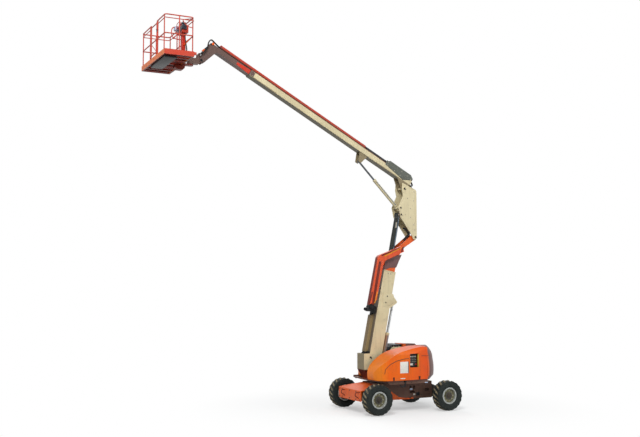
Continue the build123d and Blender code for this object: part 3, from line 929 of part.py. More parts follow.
POST_LOW = FLOOR_LOW + FLOOR_T + SEAT
RAIL_BEND = 70.0
rail_x = PLATFORM_SHORT / 2 - TOE_T - TUBE_R - SEAT
rail_y = PLATFORM_LONG / 2 - TOE_T - TUBE_R - SEAT
gate_post_y = (GATE_LOW_Y - TUBE_R - GAP, GATE_HIGH_Y + TUBE_R + GAP)
with BuildPart() as platform_rails:
    with BuildSketch(Plane.XY.offset(POST_LOW)):
        with Locations([(PLATFORM_X + x, y) for x, y in [
                (-rail_x, gate_post_y[0]), (-rail_x, gate_post_y[1]), (rail_x, -380), (rail_x, 380),
                (-rail_x, RAIL_BEND - rail_y), (rail_x, RAIL_BEND - rail_y), (-rail_x, rail_y - RAIL_BEND),
                (rail_x, rail_y - RAIL_BEND), (0, -rail_y), (0, rail_y)]]):
            Circle(TUBE_R - 1)
    extrude(amount=RAIL_TOP - TUBE_R - POST_LOW)
    # The top rail and the middle rail, each a bent tube from one gate post round to the other.
    for level in (RAIL_TOP - TUBE_R, MID_RAIL_Z):
        with BuildLine(Plane.XY.offset(level)) as loop:
            FilletPolyline((PLATFORM_X - rail_x, gate_post_y[0] + TUBE_R), (PLATFORM_X - rail_x, -rail_y),
                           (PLATFORM_X + rail_x, -rail_y), (PLATFORM_X + rail_x, rail_y),
                           (PLATFORM_X - rail_x, rail_y), (PLATFORM_X - rail_x, gate_post_y[1] - TUBE_R),
                           radius=RAIL_BEND)
        with BuildSketch(Plane(origin=loop.line @ 0, z_dir=loop.line % 0)):
            Circle(TUBE_R)
        sweep(path=loop.line)
    # The gate's hinge pins, on lugs from its post.
    for level, reach in ((POST_LOW + 120 - SEAT - 8, 1), (RAIL_TOP - 40 + SEAT, -1)):
        with BuildSketch(Plane.XY.offset(level)):
            with Locations((PLATFORM_X - rail_x, GATE_HIGH_Y + GAP)):
                Rectangle(26, 2 * TUBE_R + 2 * GAP + 26)
        extrude(amount=8)
        with BuildSketch(Plane.XY.offset(level + 4)):
            with Locations((PLATFORM_X - rail_x, GATE_HIGH_Y - TUBE_R)):
                Circle(HINGE_PIN_R)
        extrude(amount=reach * 40)
save(platform_rails.part, "platform_rails")

GATE_LOW, GATE_TOP = POST_LOW + 120, RAIL_TOP - 40
HINGE_STILE_Y, LATCH_STILE_Y = GATE_HIGH_Y - TUBE_R, GATE_LOW_Y + TUBE_R
with BuildPart() as platform_gate:
    with BuildSketch(Plane.XY.offset(GATE_LOW)):
        with Locations((PLATFORM_X - rail_x, HINGE_STILE_Y), (PLATFORM_X - rail_x, LATCH_STILE_Y)):
            Circle(TUBE_R)
    extrude(amount=GATE_TOP - GATE_LOW)
    with BuildSketch(Plane.XZ.offset(-HINGE_STILE_Y)):
        with Locations([(PLATFORM_X - rail_x, z) for z in (GATE_LOW + 40, MID_RAIL_Z, GATE_TOP - 30)]):
            Circle(TUBE_R - 1)
    extrude(amount=HINGE_STILE_Y - LATCH_STILE_Y)
    with BuildSketch(Plane.XY.offset(GATE_LOW - 1)):
        with Locations((PLATFORM_X - rail_x, HINGE_STILE_Y)):
            Circle(HINGE_PIN_R + PIN_FIT)
    extrude(amount=GATE_TOP - GATE_LOW + 2, mode=Mode.SUBTRACT)
save(platform_gate.part, "platform_gate")

with BuildPart() as platform_console:
    console_x = PLATFORM_X + rail_x - TUBE_R - SEAT - 95
    with BuildSketch(Plane.XY.offset(POST_LOW + SEAT)):
        with Locations((console_x, -520)):
            Rectangle(70, 160)
    extrude(amount=700)
    with BuildSketch(Plane.XY.offset(POST_LOW + 700)):
        with Locations((console_x, -520)):
            Rectangle(190, 420)
    extrude(amount=220)
save(platform_console.part, "platform_console")
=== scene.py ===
"""Finishes, tyres, trim, hoses and the studio for a wheeled articulating boom lift.

Everything is in metres, in the machine's own frame: the origin is on the floor under the slewing axis, +Z is
up, the platform hangs out towards -X and the near side is -Y.
"""

import math

import bpy
from bpy.props import FloatProperty, FloatVectorProperty, IntProperty, PointerProperty
from mathutils import Matrix, Vector


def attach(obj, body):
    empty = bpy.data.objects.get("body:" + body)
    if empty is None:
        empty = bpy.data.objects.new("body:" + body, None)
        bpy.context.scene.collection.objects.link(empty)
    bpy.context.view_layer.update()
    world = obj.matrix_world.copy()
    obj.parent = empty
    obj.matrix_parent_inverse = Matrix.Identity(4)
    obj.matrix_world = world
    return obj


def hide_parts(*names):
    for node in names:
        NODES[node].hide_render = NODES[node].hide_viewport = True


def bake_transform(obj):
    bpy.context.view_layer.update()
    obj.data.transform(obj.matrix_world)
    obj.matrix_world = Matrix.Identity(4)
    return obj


bl_info = {
    "name": "Boom lift looks",
    "version": (1, 0, 0),
    "blender": (4, 5, 0),
    "location": "View3D > Sidebar > Boom lift",
    "description": "Finishes and trim for an articulating boom lift",
    "category": "Object",
}

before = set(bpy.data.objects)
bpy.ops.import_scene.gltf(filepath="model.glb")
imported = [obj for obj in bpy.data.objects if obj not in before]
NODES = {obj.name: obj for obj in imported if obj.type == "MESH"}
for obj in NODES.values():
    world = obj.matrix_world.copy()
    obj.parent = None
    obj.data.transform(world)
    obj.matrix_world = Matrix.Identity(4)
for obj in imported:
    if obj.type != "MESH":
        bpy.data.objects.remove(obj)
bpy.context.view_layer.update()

# ---------------------------------------------------------------- places on the booms
MAIN_PIN, TOWER_PIN = Vector((0.280, 0.0, 6.930)), Vector((-0.984, 0.0, 1.651))
ALONG_MAIN, ABOVE_MAIN = Vector((-0.8788, 0.0, 0.4772)), Vector((0.4772, 0.0, 0.8788))
ALONG_TOWER, FRONT_TOWER = Vector((0.1994, 0.0, 0.9799)), Vector((-0.9799, 0.0, 0.1994))
MAIN_TILT, TOWER_TILT = math.radians(28.5), math.radians(11.5)
NEAR = (0, -1, 0)  # the way that near faces look
HAND = {-1: "left", 1: "right"}  # the near and the far side
HUB_X, HUB_Y, HUB_Z = 1.245, 1.075, 0.468
WHEELS = [  # name, hub, the side that faces out
    (f"{axle}_{HAND[side]}", (end * HUB_X, side * HUB_Y, HUB_Z), side)
    for axle, end in (("drive", -1), ("steer", 1)) for side in (-1, 1)
]

# ---------------------------------------------------------------- the picture
LENS_MM, SENSOR_MM, FAR_CLIP = 50.07, 36.0, 500.0
CAMERA_AT, CAMERA_TURN = (-14.6871, -24.2411, 3.8654), (math.pi / 2 + 0.0746, 0.0, -0.4622)
FLOOR_SIZE = 400.0
LAMPS_AIM = Vector((-1.5, 0, 4.5))
LAMPS = [  # name, place, diameter, power
    ("key", (-15.0, -19.0, 22.0), 10.0, 5200.0), ("fill", (14.0, -18.0, 10.0), 12.0, 900.0),
    ("back", (4.0, 20.0, 20.0), 12.0, 1200.0),
]


def on_main(u, v, y=0.0):
    """The point that far along and above the main boom's pin."""
    return MAIN_PIN + u * ALONG_MAIN + v * ABOVE_MAIN + Vector((0, y, 0))


def outline(*places):
    """The side view of those places along and above the main boom, for plate."""
    return [(point.x, point.z) for point in (on_main(u, v) for u, v in places)]


def on_tower(u, v, y=0.0):
    """The point that far up the tower boom from its pin, and out to its front."""
    return TOWER_PIN + u * ALONG_TOWER + v * FRONT_TOWER + Vector((0, y, 0))


# ---------------------------------------------------------------- colours and finishes
def srgb(code):
    """A hex colour as linear red, green, blue and alpha."""
    parts = [int(code[i:i + 2], 16) / 255 for i in (1, 3, 5)]
    return (*[c / 12.92 if c <= 0.04045 else ((c + 0.055) / 1.055) ** 2.4 for c in parts], 1.0)


def add_node(tree, kind, inputs=(), **settings):
    """Adds a node with its settings. inputs maps a socket to its value, or to the socket that feeds it."""
    node = tree.nodes.new(kind)
    for key, value in settings.items():
        setattr(node, key, value)
    for socket, value in dict(inputs).items():
        if isinstance(value, bpy.types.NodeSocket):
            tree.links.new(value, node.inputs[socket])
        else:
            node.inputs[socket].default_value = value
    return node


FINISHES = {}


def new_finish(name, metallic=0.0, roughness=0.4, shine=0.5):
    """A new finish: its tree, its shader and the coordinates on the piece."""
    material = FINISHES[name] = bpy.data.materials.new(name)
    material.use_nodes = True
    tree = material.node_tree
    shader = tree.nodes["Principled BSDF"]
    shader.inputs["Metallic"].default_value = metallic
    shader.inputs["Roughness"].default_value = roughness
    shader.inputs["Specular IOR Level"].default_value = shine
    return tree, shader, add_node(tree, "ShaderNodeTexCoord")


def ramp(tree, source, start, end, low=0.0, high=1.0):
    """low where the source is at start, high where it is at end."""
    bounds = {"From Min": start, "From Max": end, "To Min": low, "To Max": high}
    return add_node(tree, "ShaderNodeMapRange", {"Value": source, **bounds}).outputs[0]


def noise(tree, place, scale, detail):
    """Cloudy noise from 0 to 1."""
    return add_node(tree, "ShaderNodeTexNoise",
                    {"Vector": place, "Scale": scale, "Detail": detail}).outputs[0]


def patch(tree, place, size_mm, low, high, detail=6.0, stretch=(1, 1, 1)):
    """A mask of soft patches about size_mm across: 0 below low and 1 above high."""
    spread = add_node(tree, "ShaderNodeMapping", {"Vector": place, "Scale": stretch})
    return ramp(tree, noise(tree, spread.outputs[0], 1000.0 / size_mm, detail), low, high)


def blend_colour(tree, mask, first, second):
    """first where the mask is 0 and second where it is 1."""
    return add_node(tree, "ShaderNodeMix", {0: mask, 6: first, 7: second}, data_type="RGBA").outputs[2]


def scaled(tree, mask, share):
    """The mask times share, which is a number or another mask."""
    return add_node(tree, "ShaderNodeMath", {0: mask, 1: share}, operation="MULTIPLY").outputs[0]


def stain(tree, place, tint, over, share, size_mm, low, high, detail=6.0):
    """The tint with patches of another colour over it, share strong."""
    return blend_colour(tree, scaled(tree, patch(tree, place, size_mm, low, high, detail), share), tint, over)


def wire(tree, shader, tint, height, strength, distance):
    """Feeds the shader its colour, and the height as a bump."""
    tree.links.new(tint, shader.inputs["Base Color"])
    bump = add_node(tree, "ShaderNodeBump", {"Strength": strength, "Distance": distance, "Height": height})
    tree.links.new(bump.outputs[0], shader.inputs["Normal"])


def seen_directly(tree):
    """1 for the camera, for reflections and through glass, 0 for the light that falls on things."""
    light = add_node(tree, "ShaderNodeLightPath")
    seen = light.outputs["Is Camera Ray"]
    for kind in ("Is Glossy Ray", "Is Transmission Ray"):
        seen = add_node(tree, "ShaderNodeMath", {0: seen, 1: light.outputs[kind]},
                        operation="MAXIMUM").outputs[0]
    return seen


def enamel(name, colour, faded, zones=(), chips=0.5, roughness=0.40, dust_top=0.0):
    """Sprayed enamel on steel plate, out in all weathers.

    The eye sees broad fading, thin rain streaks of grime, small rust chips and a fine orange peel in a soft
    gloss. zones are (kind, from, to, colour): another colour where x, y or z, the height on the main boom, or
    the way the face looks passes those bounds; some are a second coat of paint, the others painted shade or a
    painted highlight, as noted where the finishes are made. dust_top is the height below which road dust lies on
    it.
    """
    tree, shader, coords = new_finish(name, 0.0, roughness, 0.22)
    place = coords.outputs["Object"]
    split = add_node(tree, "ShaderNodeSeparateXYZ", {0: place})
    above = add_node(tree, "ShaderNodeVectorMath", {0: place, 1: ABOVE_MAIN}, operation="DOT_PRODUCT")
    facing = add_node(tree, "ShaderNodeSeparateXYZ", {0: coords.outputs["Normal"]})
    tint = stain(tree, place, colour, faded, 0.75, 900, 0.42, 0.66, 4.0)
    for kind, start, end, coat in zones:
        if kind == "above_main":
            source, base = above.outputs["Value"], MAIN_PIN.dot(ABOVE_MAIN)
        else:
            source, base = (facing if kind.startswith("face") else split).outputs["xyz".index(kind[-1])], 0.0
        tint = blend_colour(tree, ramp(tree, source, start + base, end + base), tint, coat)
    streaks = scaled(tree, patch(tree, place, 60, 0.52, 0.74, 5.0, (1, 1, 0.07)), 0.15)
    tint = blend_colour(tree, streaks, tint, srgb("#4A3A30"))
    tint = stain(tree, place, tint, srgb("#6B5848"), 0.16, 240, 0.56, 0.72)
    if dust_top:
        patchy_tint_mask = scaled(tree, ramp(tree, split.outputs[2], dust_top, 0.1), patch(tree, place, 130, 0.35, 0.60))
        tint = blend_colour(tree, scaled(tree, patchy_tint_mask, 0.35), tint, srgb("#7C6C58"))
    tint = stain(tree, place, tint, srgb("#5A2E18"), 0.9, 26, 0.70 - 0.03 * chips, 0.73 - 0.03 * chips, 7.0)
    tree.links.new(ramp(tree, streaks, 0.0, 1.0, roughness, roughness + 0.35), shader.inputs["Roughness"])
    # Orange peel is about 2 mm across: drawn at 9 mm, so that it shows.
    wire(tree, shader, tint, noise(tree, place, 110.0, 3.0), 0.08, 0.002)


def from_axle(tree, place):
    """The distance from the wheels' axles, in side view."""
    folded = add_node(tree, "ShaderNodeVectorMath", {0: place}, operation="ABSOLUTE")
    flat = add_node(tree, "ShaderNodeVectorMath", {0: folded.outputs[0], 1: (1, 0, 1)}, operation="MULTIPLY")
    ends = {0: flat.outputs[0], 1: (HUB_X, 0, HUB_Z)}
    return add_node(tree, "ShaderNodeVectorMath", ends, operation="DISTANCE").outputs["Value"]


def rubber(name, colour, dusty, grain_mm=6.0, dust=0.6, crown_dust_and_highlight=False):
    """Moulded black rubber, as cured in its mould: no gloss, a dry bloom and dust that settles in patches.

    With the last argument set, the lug tops at the far end of the spokes are painted pale: partly dry, muddy
    dust on the tread, partly a painted highlight where the lamps catch the lugs.
    """
    tree, shader, coords = new_finish(name, 0.0, 0.78, 0.3)
    place = coords.outputs["Object"]
    tint = stain(tree, place, colour, dusty, dust, 90, 0.44, 0.70)
    tint = stain(tree, place, tint, srgb("#8D8470"), 0.4 * dust, 14, 0.55, 0.72, 5.0)
    # Pale lug tops far from the axle: partly muddy dust, partly a painted highlight on the tread.
    if crown_dust_and_highlight:
        patchy_tint_mask = scaled(tree, ramp(tree, from_axle(tree, place), 0.446, 0.458),
                     patch(tree, place, 70, 0.30, 0.56))
        tint = blend_colour(tree, scaled(tree, patchy_tint_mask, 0.9), tint, srgb("#A09274"))
    wire(tree, shader, tint, noise(tree, place, 1000.0 / grain_mm, 4.0), 0.25, 0.001)


def bare_metal(name, colour, stained, roughness, stretch=(1, 1, 1), grain_mm=4.0):
    """Turned, cast or zinc-plated metal without paint: a streaky sheen with darker oil and rust stains."""
    tree, shader, coords = new_finish(name, 1.0, roughness)
    place = coords.outputs["Object"]
    tint = stain(tree, place, colour, stained, 0.6, 70, 0.50, 0.68)
    marks = patch(tree, place, grain_mm, 0.35, 0.70, 4.0, stretch)
    tree.links.new(ramp(tree, marks, 0.0, 1.0, roughness, roughness + 0.22), shader.inputs["Roughness"])
    wire(tree, shader, tint, marks, 0.12, 0.001)


def plastic(name, colour, scuffed, roughness=0.5, grain_mm=3.0):
    """Moulded nylon, ABS or vinyl: an even colour with scuffs, and a fine leathery grain from the mould."""
    tree, shader, coords = new_finish(name, 0.0, roughness)
    place = coords.outputs["Object"]
    tint = stain(tree, place, colour, scuffed, 0.5, 45, 0.52, 0.66)
    grain = add_node(tree, "ShaderNodeTexVoronoi", {"Vector": place, "Scale": 1000.0 / grain_mm})
    wire(tree, shader, tint, grain.outputs[0], 0.10, 0.0006)


def wheel_enamel(name):
    """Grey enamel on the rim, olive paint on its dish and a dark oily hub, by the distance from the axle."""
    tree, shader, coords = new_finish(name, 0.0, 0.42)
    place = coords.outputs["Object"]
    reach = from_axle(tree, place)
    tint = blend_colour(tree, ramp(tree, reach, 0.212, 0.206), srgb("#AEB2AE"), srgb("#6C6A48"))
    tint = blend_colour(tree, ramp(tree, reach, 0.120, 0.116), tint, srgb("#33302A"))
    tint = stain(tree, place, tint, srgb("#54493A"), 0.55, 60, 0.46, 0.66)
    wire(tree, shader, tint, noise(tree, place, 160.0, 4.0), 0.15, 0.001)


def tread_plate(name, colour, worn):
    """Enamelled floor plate with raised bars on a 40 mm grid, worn to a duller coat where people stand."""
    tree, shader, coords = new_finish(name, 0.0, 0.5)
    place = coords.outputs["Object"]
    tint = stain(tree, place, colour, worn, 0.7, 160, 0.42, 0.62)
    white, black = (1, 1, 1, 1), (0, 0, 0, 1)
    bars = add_node(tree, "ShaderNodeTexBrick",
                    {"Vector": place, "Scale": 12.5, "Color1": white, "Color2": white,
                                                 "Mortar": black, "Mortar Size": 0.03})
    wire(tree, shader, tint, bars.outputs[0], 0.6, 0.003)


def finish(name):
    """A finish that make_finishes has made."""
    return FINISHES[name]


def make_finishes(paint):
    """Every finish on the machine, from the colours in the panel."""
    cream, orange, basket, brown = (tuple(c) for c in (paint.cream, paint.orange, paint.basket, paint.brown))
    dark_red, shade_cream, under = srgb("#6E1F12"), srgb("#C9BC97"), srgb("#5E5844")
    # below paints every face that looks down in the under colour: painted shade on the undersides, away from the
    # lamps.
    below = ("face_z", -0.55, -0.8, under)
    enamel("cream_enamel", cream, shade_cream, [below])
    # On the main boom a darker band low on the sides is painted shade at the lower edge, and the brown band high
    # on the sides is the carrier's painted shadow.
    enamel("boom_enamel", cream, shade_cream, [
        ("above_main", 0.246, 0.234, srgb("#8C7E60")), below, ("above_main", 0.385, 0.392, srgb("#6E3E2E"))])
    # The tower's faces that look forward are painted darker: painted shade on the side away from the lamps.
    enamel("tower_enamel", cream, srgb("#CDBF98"), [("face_x", -0.55, -0.85, srgb("#6E6355"))])
    # The turret's faces that look forward are painted a darker cream: painted shade.
    enamel("turret_enamel", cream, shade_cream,
           [("face_x", -0.75, -0.9, srgb("#857A5E")), ("z", 1.292, 1.262, srgb("#4A150D")),
            ("z", 1.012, 1.002, srgb("#6C4E42"))])
    enamel("orange_enamel", orange, srgb("#E0652A"))
    enamel("counterweight_enamel", orange, srgb("#DC5C22"), [("x", 0.600, 0.635, srgb("#6E4A44"))])
    # hood holds a redder orange towards the rear and, on faces that look forward, a yellower orange that is a
    # painted highlight where the lamps catch the hood's front.
    hood = [("x", -0.40, 0.50, srgb("#E9561A")), ("face_x", -0.35, -0.80, srgb("#F5841A"))]
    enamel("hood_enamel", srgb("#F0640E"), srgb("#F27214"), hood, 0.2, 0.34)
    enamel("right_hood_enamel", srgb("#F0640E"), srgb("#F27214"),
           [*hood, ("z", 1.735, 1.745, srgb("#14161E"))], 0.2, 0.34)
    enamel("nose_enamel", srgb("#F0641A"), srgb("#E45C1C"), [("x", -1.60, -1.625, dark_red)], 0.8, 0.4, 0.9)
    # On the hose guide and the tower's fly, faces that look forward are painted dark red: painted shade.
    enamel("guide_enamel", srgb("#E2582E"), srgb("#D8502C"), [("face_x", -0.6, -0.8, dark_red)])
    enamel("fly_enamel", orange, srgb("#D8602C"), [("face_x", -0.6, -0.8, dark_red)])
    # The carrier's lower part and its faces that look down are painted darker: painted shade under it.
    enamel("carrier_enamel", srgb("#B8402E"), srgb("#AC4634"),
           [("above_main", 0.450, 0.442, srgb("#642A1E")), ("face_z", -0.55, -0.8, srgb("#4A2018"))])
    enamel("basket_enamel", basket, srgb("#B85846"), (), 0.7)
    # On the toe boards, faces that look forward are painted a lighter orange, a painted highlight, and faces
    # that look down are painted dark, a painted shade.
    enamel("toe_board_enamel", basket, srgb("#B85846"),
           [("face_x", -0.6, -0.9, srgb("#EE7420")), ("face_z", -0.5, -0.9, srgb("#5A1A14"))], 0.7)
    enamel("brown_enamel", brown, srgb("#7A6258"), (), 1.0)
    # The trough's faces that look forward are painted darker: painted shade.
    enamel("trough_enamel", srgb("#A08A62"), srgb("#8E7A56"), [("face_x", -0.6, -0.9, srgb("#7A6646"))])
    enamel("barrel_enamel", srgb("#B08A6E"), srgb("#9C785E"))
    enamel("chassis_enamel", srgb("#64463C"), srgb("#705448"), (), 1.0, 0.5, 1.0)
    # A mauve for the gooseneck's painted shadow.
    enamel("gooseneck_shadow_mauve", srgb("#6E5050"), srgb("#7A5A56"), (), 0.8)
    # A lighter orange for the guide's edge strips: a painted highlight.
    enamel("guide_highlight_orange", srgb("#F29A2A"), srgb("#E88A24"), (), 0.2)
    enamel("dark_red_enamel", dark_red, srgb("#82301F"), (), 0.8)
    enamel("axle_enamel", srgb("#24221F"), srgb("#35312B"), (), 0.8, 0.55, 0.9)
    enamel("black_enamel", srgb("#15161A"), srgb("#202226"), (), 0.2, 0.42)
    enamel("cylinder_enamel", srgb("#1B211E"), srgb("#2A302B"), (), 0.3, 0.36)
    enamel("red_enamel", srgb("#C9301E"), srgb("#C44A34"), (), 0.3)
    wheel_enamel("wheel_enamel")
    tread_plate("tread_plate", srgb("#A0452F"), srgb("#7E6A5C"))
    bare_metal("cast_iron", srgb("#5A554E"), srgb("#342E2A"), 0.6)
    bare_metal("hard_chrome", srgb("#B4B6B8"), srgb("#5E5C58"), 0.20, (1, 1, 0.2), 10.0)
    bare_metal("oiled_rod", srgb("#5C6064"), srgb("#3A3B3C"), 0.28, (1, 1, 0.2), 10.0)
    bare_metal("zinc_plate", srgb("#A8A498"), srgb("#6C5C44"), 0.42)
    bare_metal("blued_tube", srgb("#8494A6"), srgb("#5A6878"), 0.34, (1, 1, 0.2))
    rubber("tyre_rubber", srgb("#141C1C"), srgb("#2A302C"), 7.0, 0.5, True)
    rubber("hose_rubber", srgb("#101214"), srgb("#22272A"), 4.0, 0.5)
    plastic("track_nylon", srgb("#101215"), srgb("#26282C"), 0.5, 6.0)
    plastic("cover_abs", srgb("#51554C"), srgb("#6C7066"), 0.5, 5.0)
    plastic("label_vinyl", srgb("#E9E6DC"), srgb("#C9C2B2"), 0.35, 8.0)
    plastic("grey_vinyl", srgb("#8E8F8C"), srgb("#6E6F6C"), 0.4, 8.0)
    plastic("console_face", srgb("#141C2A"), srgb("#263046"), 0.35, 4.0)
    plastic("box_polyester", srgb("#B4C6E0"), srgb("#8C9DB4"), 0.4, 6.0)
    plastic("red_knob", srgb("#C0241A"), srgb("#8E1E16"), 0.3, 3.0)
    # A yellow for the recess wall's painted highlight.
    plastic("recess_highlight_yellow", srgb("#E2B13A"), srgb("#B98C2C"), 0.35, 3.0)


NODE_FINISHES = {  # finish: the nodes that take it
    "chassis_enamel": ["chassis_frame"],
    "nose_enamel": ["chassis_nose"],
    "axle_enamel": ["drive_axle", "steer_axle", "knuckle_left", "knuckle_right", "tie_rod"],
    "wheel_enamel": ["rim_drive_left", "rim_drive_right", "rim_steer_left", "rim_steer_right"],
    "tyre_rubber": ["tyre_drive_left", "tyre_drive_right", "tyre_steer_left", "tyre_steer_right"],
    "turret_enamel": ["turntable_frame"],
    "counterweight_enamel": ["counterweight"],
    "fly_enamel": ["tower_fly"],
    "carrier_enamel": ["track_carrier"],
    "cast_iron": ["engine_block"],
    "black_enamel": ["fluid_tank", "ground_control", "level_barrel"],
    "hood_enamel": ["hood_left"],
    "right_hood_enamel": ["hood_right"],
    "barrel_enamel": ["tower_lift_barrel"],
    "tower_enamel": ["tower_base"],
    "trough_enamel": ["tower_trough"],
    "guide_enamel": ["tower_guide"],
    "hose_rubber": ["tower_hose_band"],
    "cream_enamel": ["upright", "main_lift_barrel"],
    "boom_enamel": ["main_base"],
    "hard_chrome": ["tower_lift_rod", "upright_rod", "level_rod"],
    "oiled_rod": ["main_lift_rod"],
    "cylinder_enamel": ["upright_barrel"],
    "cover_abs": ["main_cover"],
    "brown_enamel": ["main_fly", "platform_support"],
    "track_nylon": ["power_track"],
    "dark_red_enamel": ["platform_bracket"],
    "toe_board_enamel": ["platform_floor"],
    "basket_enamel": ["platform_rails", "platform_gate", "platform_console"],
}


# ---------------------------------------------------------------- modelling steps
def deselect():
    """Nothing selected, in object mode."""
    if bpy.context.object and bpy.context.object.mode != "OBJECT":
        bpy.ops.object.mode_set(mode="OBJECT")
    bpy.ops.object.select_all(action="DESELECT")


def take(*pieces):
    """Selects these pieces only, the first one active."""
    deselect()
    for piece in pieces:
        piece.select_set(True)
    bpy.context.view_layer.objects.active = pieces[0]
    return pieces[0]


def pick(piece, test):
    """Goes into edit mode with only the faces selected that pass the test."""
    take(piece)
    bpy.ops.object.mode_set(mode="EDIT")
    bpy.ops.mesh.select_mode(type="FACE")
    bpy.ops.mesh.select_all(action="DESELECT")
    bpy.ops.object.mode_set(mode="OBJECT")
    for face in piece.data.polygons:
        face.select = bool(test(face))
    bpy.ops.object.mode_set(mode="EDIT")


def block(centre, size, edge=0.003, tilt=0.0, steps=2):
    """A rectangular piece with rounded edges. tilt leans it in side view."""
    deselect()
    bpy.ops.mesh.primitive_cube_add(size=1.0, location=centre, rotation=(0, tilt, 0), scale=size)
    piece = bpy.context.object
    bpy.ops.object.transform_apply(location=False, rotation=False, scale=True)
    bpy.ops.object.mode_set(mode="EDIT")
    bpy.ops.mesh.select_all(action="SELECT")
    bpy.ops.mesh.bevel(offset=edge, segments=steps, affect="EDGES")
    bpy.ops.object.mode_set(mode="OBJECT")
    return piece


def bar(start, end, radius, sides=20, rim=0.12):
    """A round bar between two points, with its end edges turned off."""
    start, end = Vector(start), Vector(end)
    line, cut = end - start, rim * radius
    deselect()
    bpy.ops.mesh.primitive_cylinder_add(vertices=sides, radius=radius, depth=line.length - 2 * cut,
                                        location=(start + end) / 2,
                                        rotation=line.to_track_quat("Z", "Y").to_euler())
    piece = bpy.context.object
    pick(piece, lambda face: len(face.vertices) == sides)
    bpy.ops.mesh.inset(thickness=cut, depth=cut, use_individual=True)
    bpy.ops.object.mode_set(mode="OBJECT")
    return piece


def hose_curve(name, points, radius, order, roundness, steps):
    """A smooth curve led by the points, as a round hose with closed ends."""
    curve = bpy.data.curves.new(name, "CURVE")
    curve.dimensions = "3D"
    spline = curve.splines.new("NURBS")
    spline.points.add(len(points) - 1)
    for point, at in zip(spline.points, points):
        point.co = (*at, 1.0)
    spline.order_u, spline.use_endpoint_u = order, True
    curve.bevel_depth, curve.bevel_resolution, curve.resolution_u = radius, roundness, steps
    curve.use_fill_caps = True
    piece = bpy.data.objects.new(name, curve)
    bpy.context.scene.collection.objects.link(piece)
    return piece


def pipe(points, radius, order=3):
    """A hose or tube led by the points, made a mesh."""
    take(hose_curve("pipe", points, radius, order, 3, 6))
    bpy.ops.object.convert(target="MESH")
    return bpy.context.object


def plate(corners, y, thick, edge=0.002):
    """A flat plate from its side-view (x, z) corners, centred on y."""
    deselect()
    bpy.ops.mesh.primitive_circle_add(vertices=len(corners), fill_type="NGON", location=(0, 0, 0))
    piece = bpy.context.object
    for point, (x, z) in zip(piece.data.vertices, corners):
        point.co = (x, y, z)
    for kind, settings in (("SOLIDIFY", {"thickness": thick, "offset": 0.0}),
                           ("BEVEL", {"width": edge, "segments": 2})):
        modifier = piece.modifiers.new(kind, kind)
        for key, value in settings.items():
            setattr(modifier, key, value)
        bpy.ops.object.modifier_apply(modifier=kind)
    bpy.ops.object.mode_set(mode="EDIT")
    bpy.ops.mesh.select_all(action="SELECT")
    bpy.ops.mesh.normals_make_consistent(inside=False)
    bpy.ops.object.mode_set(mode="OBJECT")
    return piece


def on_side(node, x, z, side=-1):
    """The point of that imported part's outer face at x and z."""
    hit, spot, *_ = NODES[node].ray_cast((x, side * 3.0, z), (0, -side, 0))
    return spot if hit else Vector((x, side * 1.150, z))


def join(name, parts):
    """Several parts as one piece."""
    take(*parts)
    if len(parts) > 1:
        bpy.ops.object.join()
    piece = bpy.context.object
    piece.name = piece.data.name = name
    return piece


def settle(piece, body, coat, angle=35.0):
    """Puts the piece's place in its mesh, smooths and paints it, and lets it ride on its body."""
    take(piece)
    bpy.ops.object.transform_apply(location=True, rotation=True, scale=True)
    bpy.ops.object.shade_smooth_by_angle(angle=math.radians(angle))
    piece.data.materials.clear()
    piece.data.materials.append(finish(coat))
    if isinstance(body, str):
        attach(piece, body)
    return piece


def fit(name, body, coat, parts, angle=35.0):
    """Several parts as one finished piece on its body."""
    return settle(join(name, parts), body, coat, angle)


def twin(template, placing):
    """A copy of the template, put in its place."""
    copy = template.copy()
    copy.data = template.data.copy()
    bpy.context.scene.collection.objects.link(copy)
    copy.matrix_world = placing
    return copy


def hex_head(size):
    """A hexagon head on its washer, at the origin and facing up."""
    washer = bar((0, 0, -0.02 * size), (0, 0, 0.14 * size), 0.72 * size, 20)
    head = bar((0, 0, 0.1 * size), (0, 0, 0.55 * size), 0.56 * size, 6, 0.16)
    return join("hex_head", [washer, head])


def bolt_on(name, body, coat, size, places):
    """A hexagon head at each place, all one piece. A place is a point and the way that the head faces."""
    template = hex_head(size)
    copies = []
    for at, facing in places:
        turn = Vector(facing).to_track_quat("Z", "Y").to_matrix().to_4x4()
        copies.append(twin(template, Matrix.Translation(at) @ turn))
    bpy.data.objects.remove(template)
    return fit(name, body, coat, copies)


def ring(centre, radius, count, facing, phase=0.0):
    """That many places round a circle, for bolt_on. It lies flat where it faces up, or else in side view."""
    x, y, z = centre
    places = []
    for k in range(count):
        angle = 2 * math.pi * (k + phase) / count
        across, up = radius * math.cos(angle), radius * math.sin(angle)
        places.append((Vector((x + across, y + up, z) if facing[2] else (x + across, y, z + up)), facing))
    return places


def pin_cap(name, at, side, radius, body):
    """The end of a boom pin: a turned cap, its keeper plate and two bolts."""
    x, y, z = at
    out = Vector((0, side, 0))
    cap = bar(at, Vector(at) + out * 0.014, radius, 28, 0.2)
    boss = bar(Vector(at) + out * 0.012, Vector(at) + out * 0.022, radius * 0.45, 16, 0.2)
    keeper = block((x + radius * 0.9, y + side * 0.006, z - radius * 0.9),
                   (radius * 1.5, 0.010, radius * 0.6), 0.002, math.radians(45))
    fit(name, body, "black_enamel", [cap, boss, keeper])
    bolts = [(Vector((x + radius * k, y + side * 0.010, z - radius * (1.8 - k))), (0, side, 0))
             for k in (0.55, 1.25)]
    bolt_on(name + "_bolts", body, "zinc_plate", radius * 0.32, bolts)


# ---------------------------------------------------------------- sizes and colours for the panel
COLOUR = {"subtype": "COLOR", "size": 4, "min": 0, "max": 1}


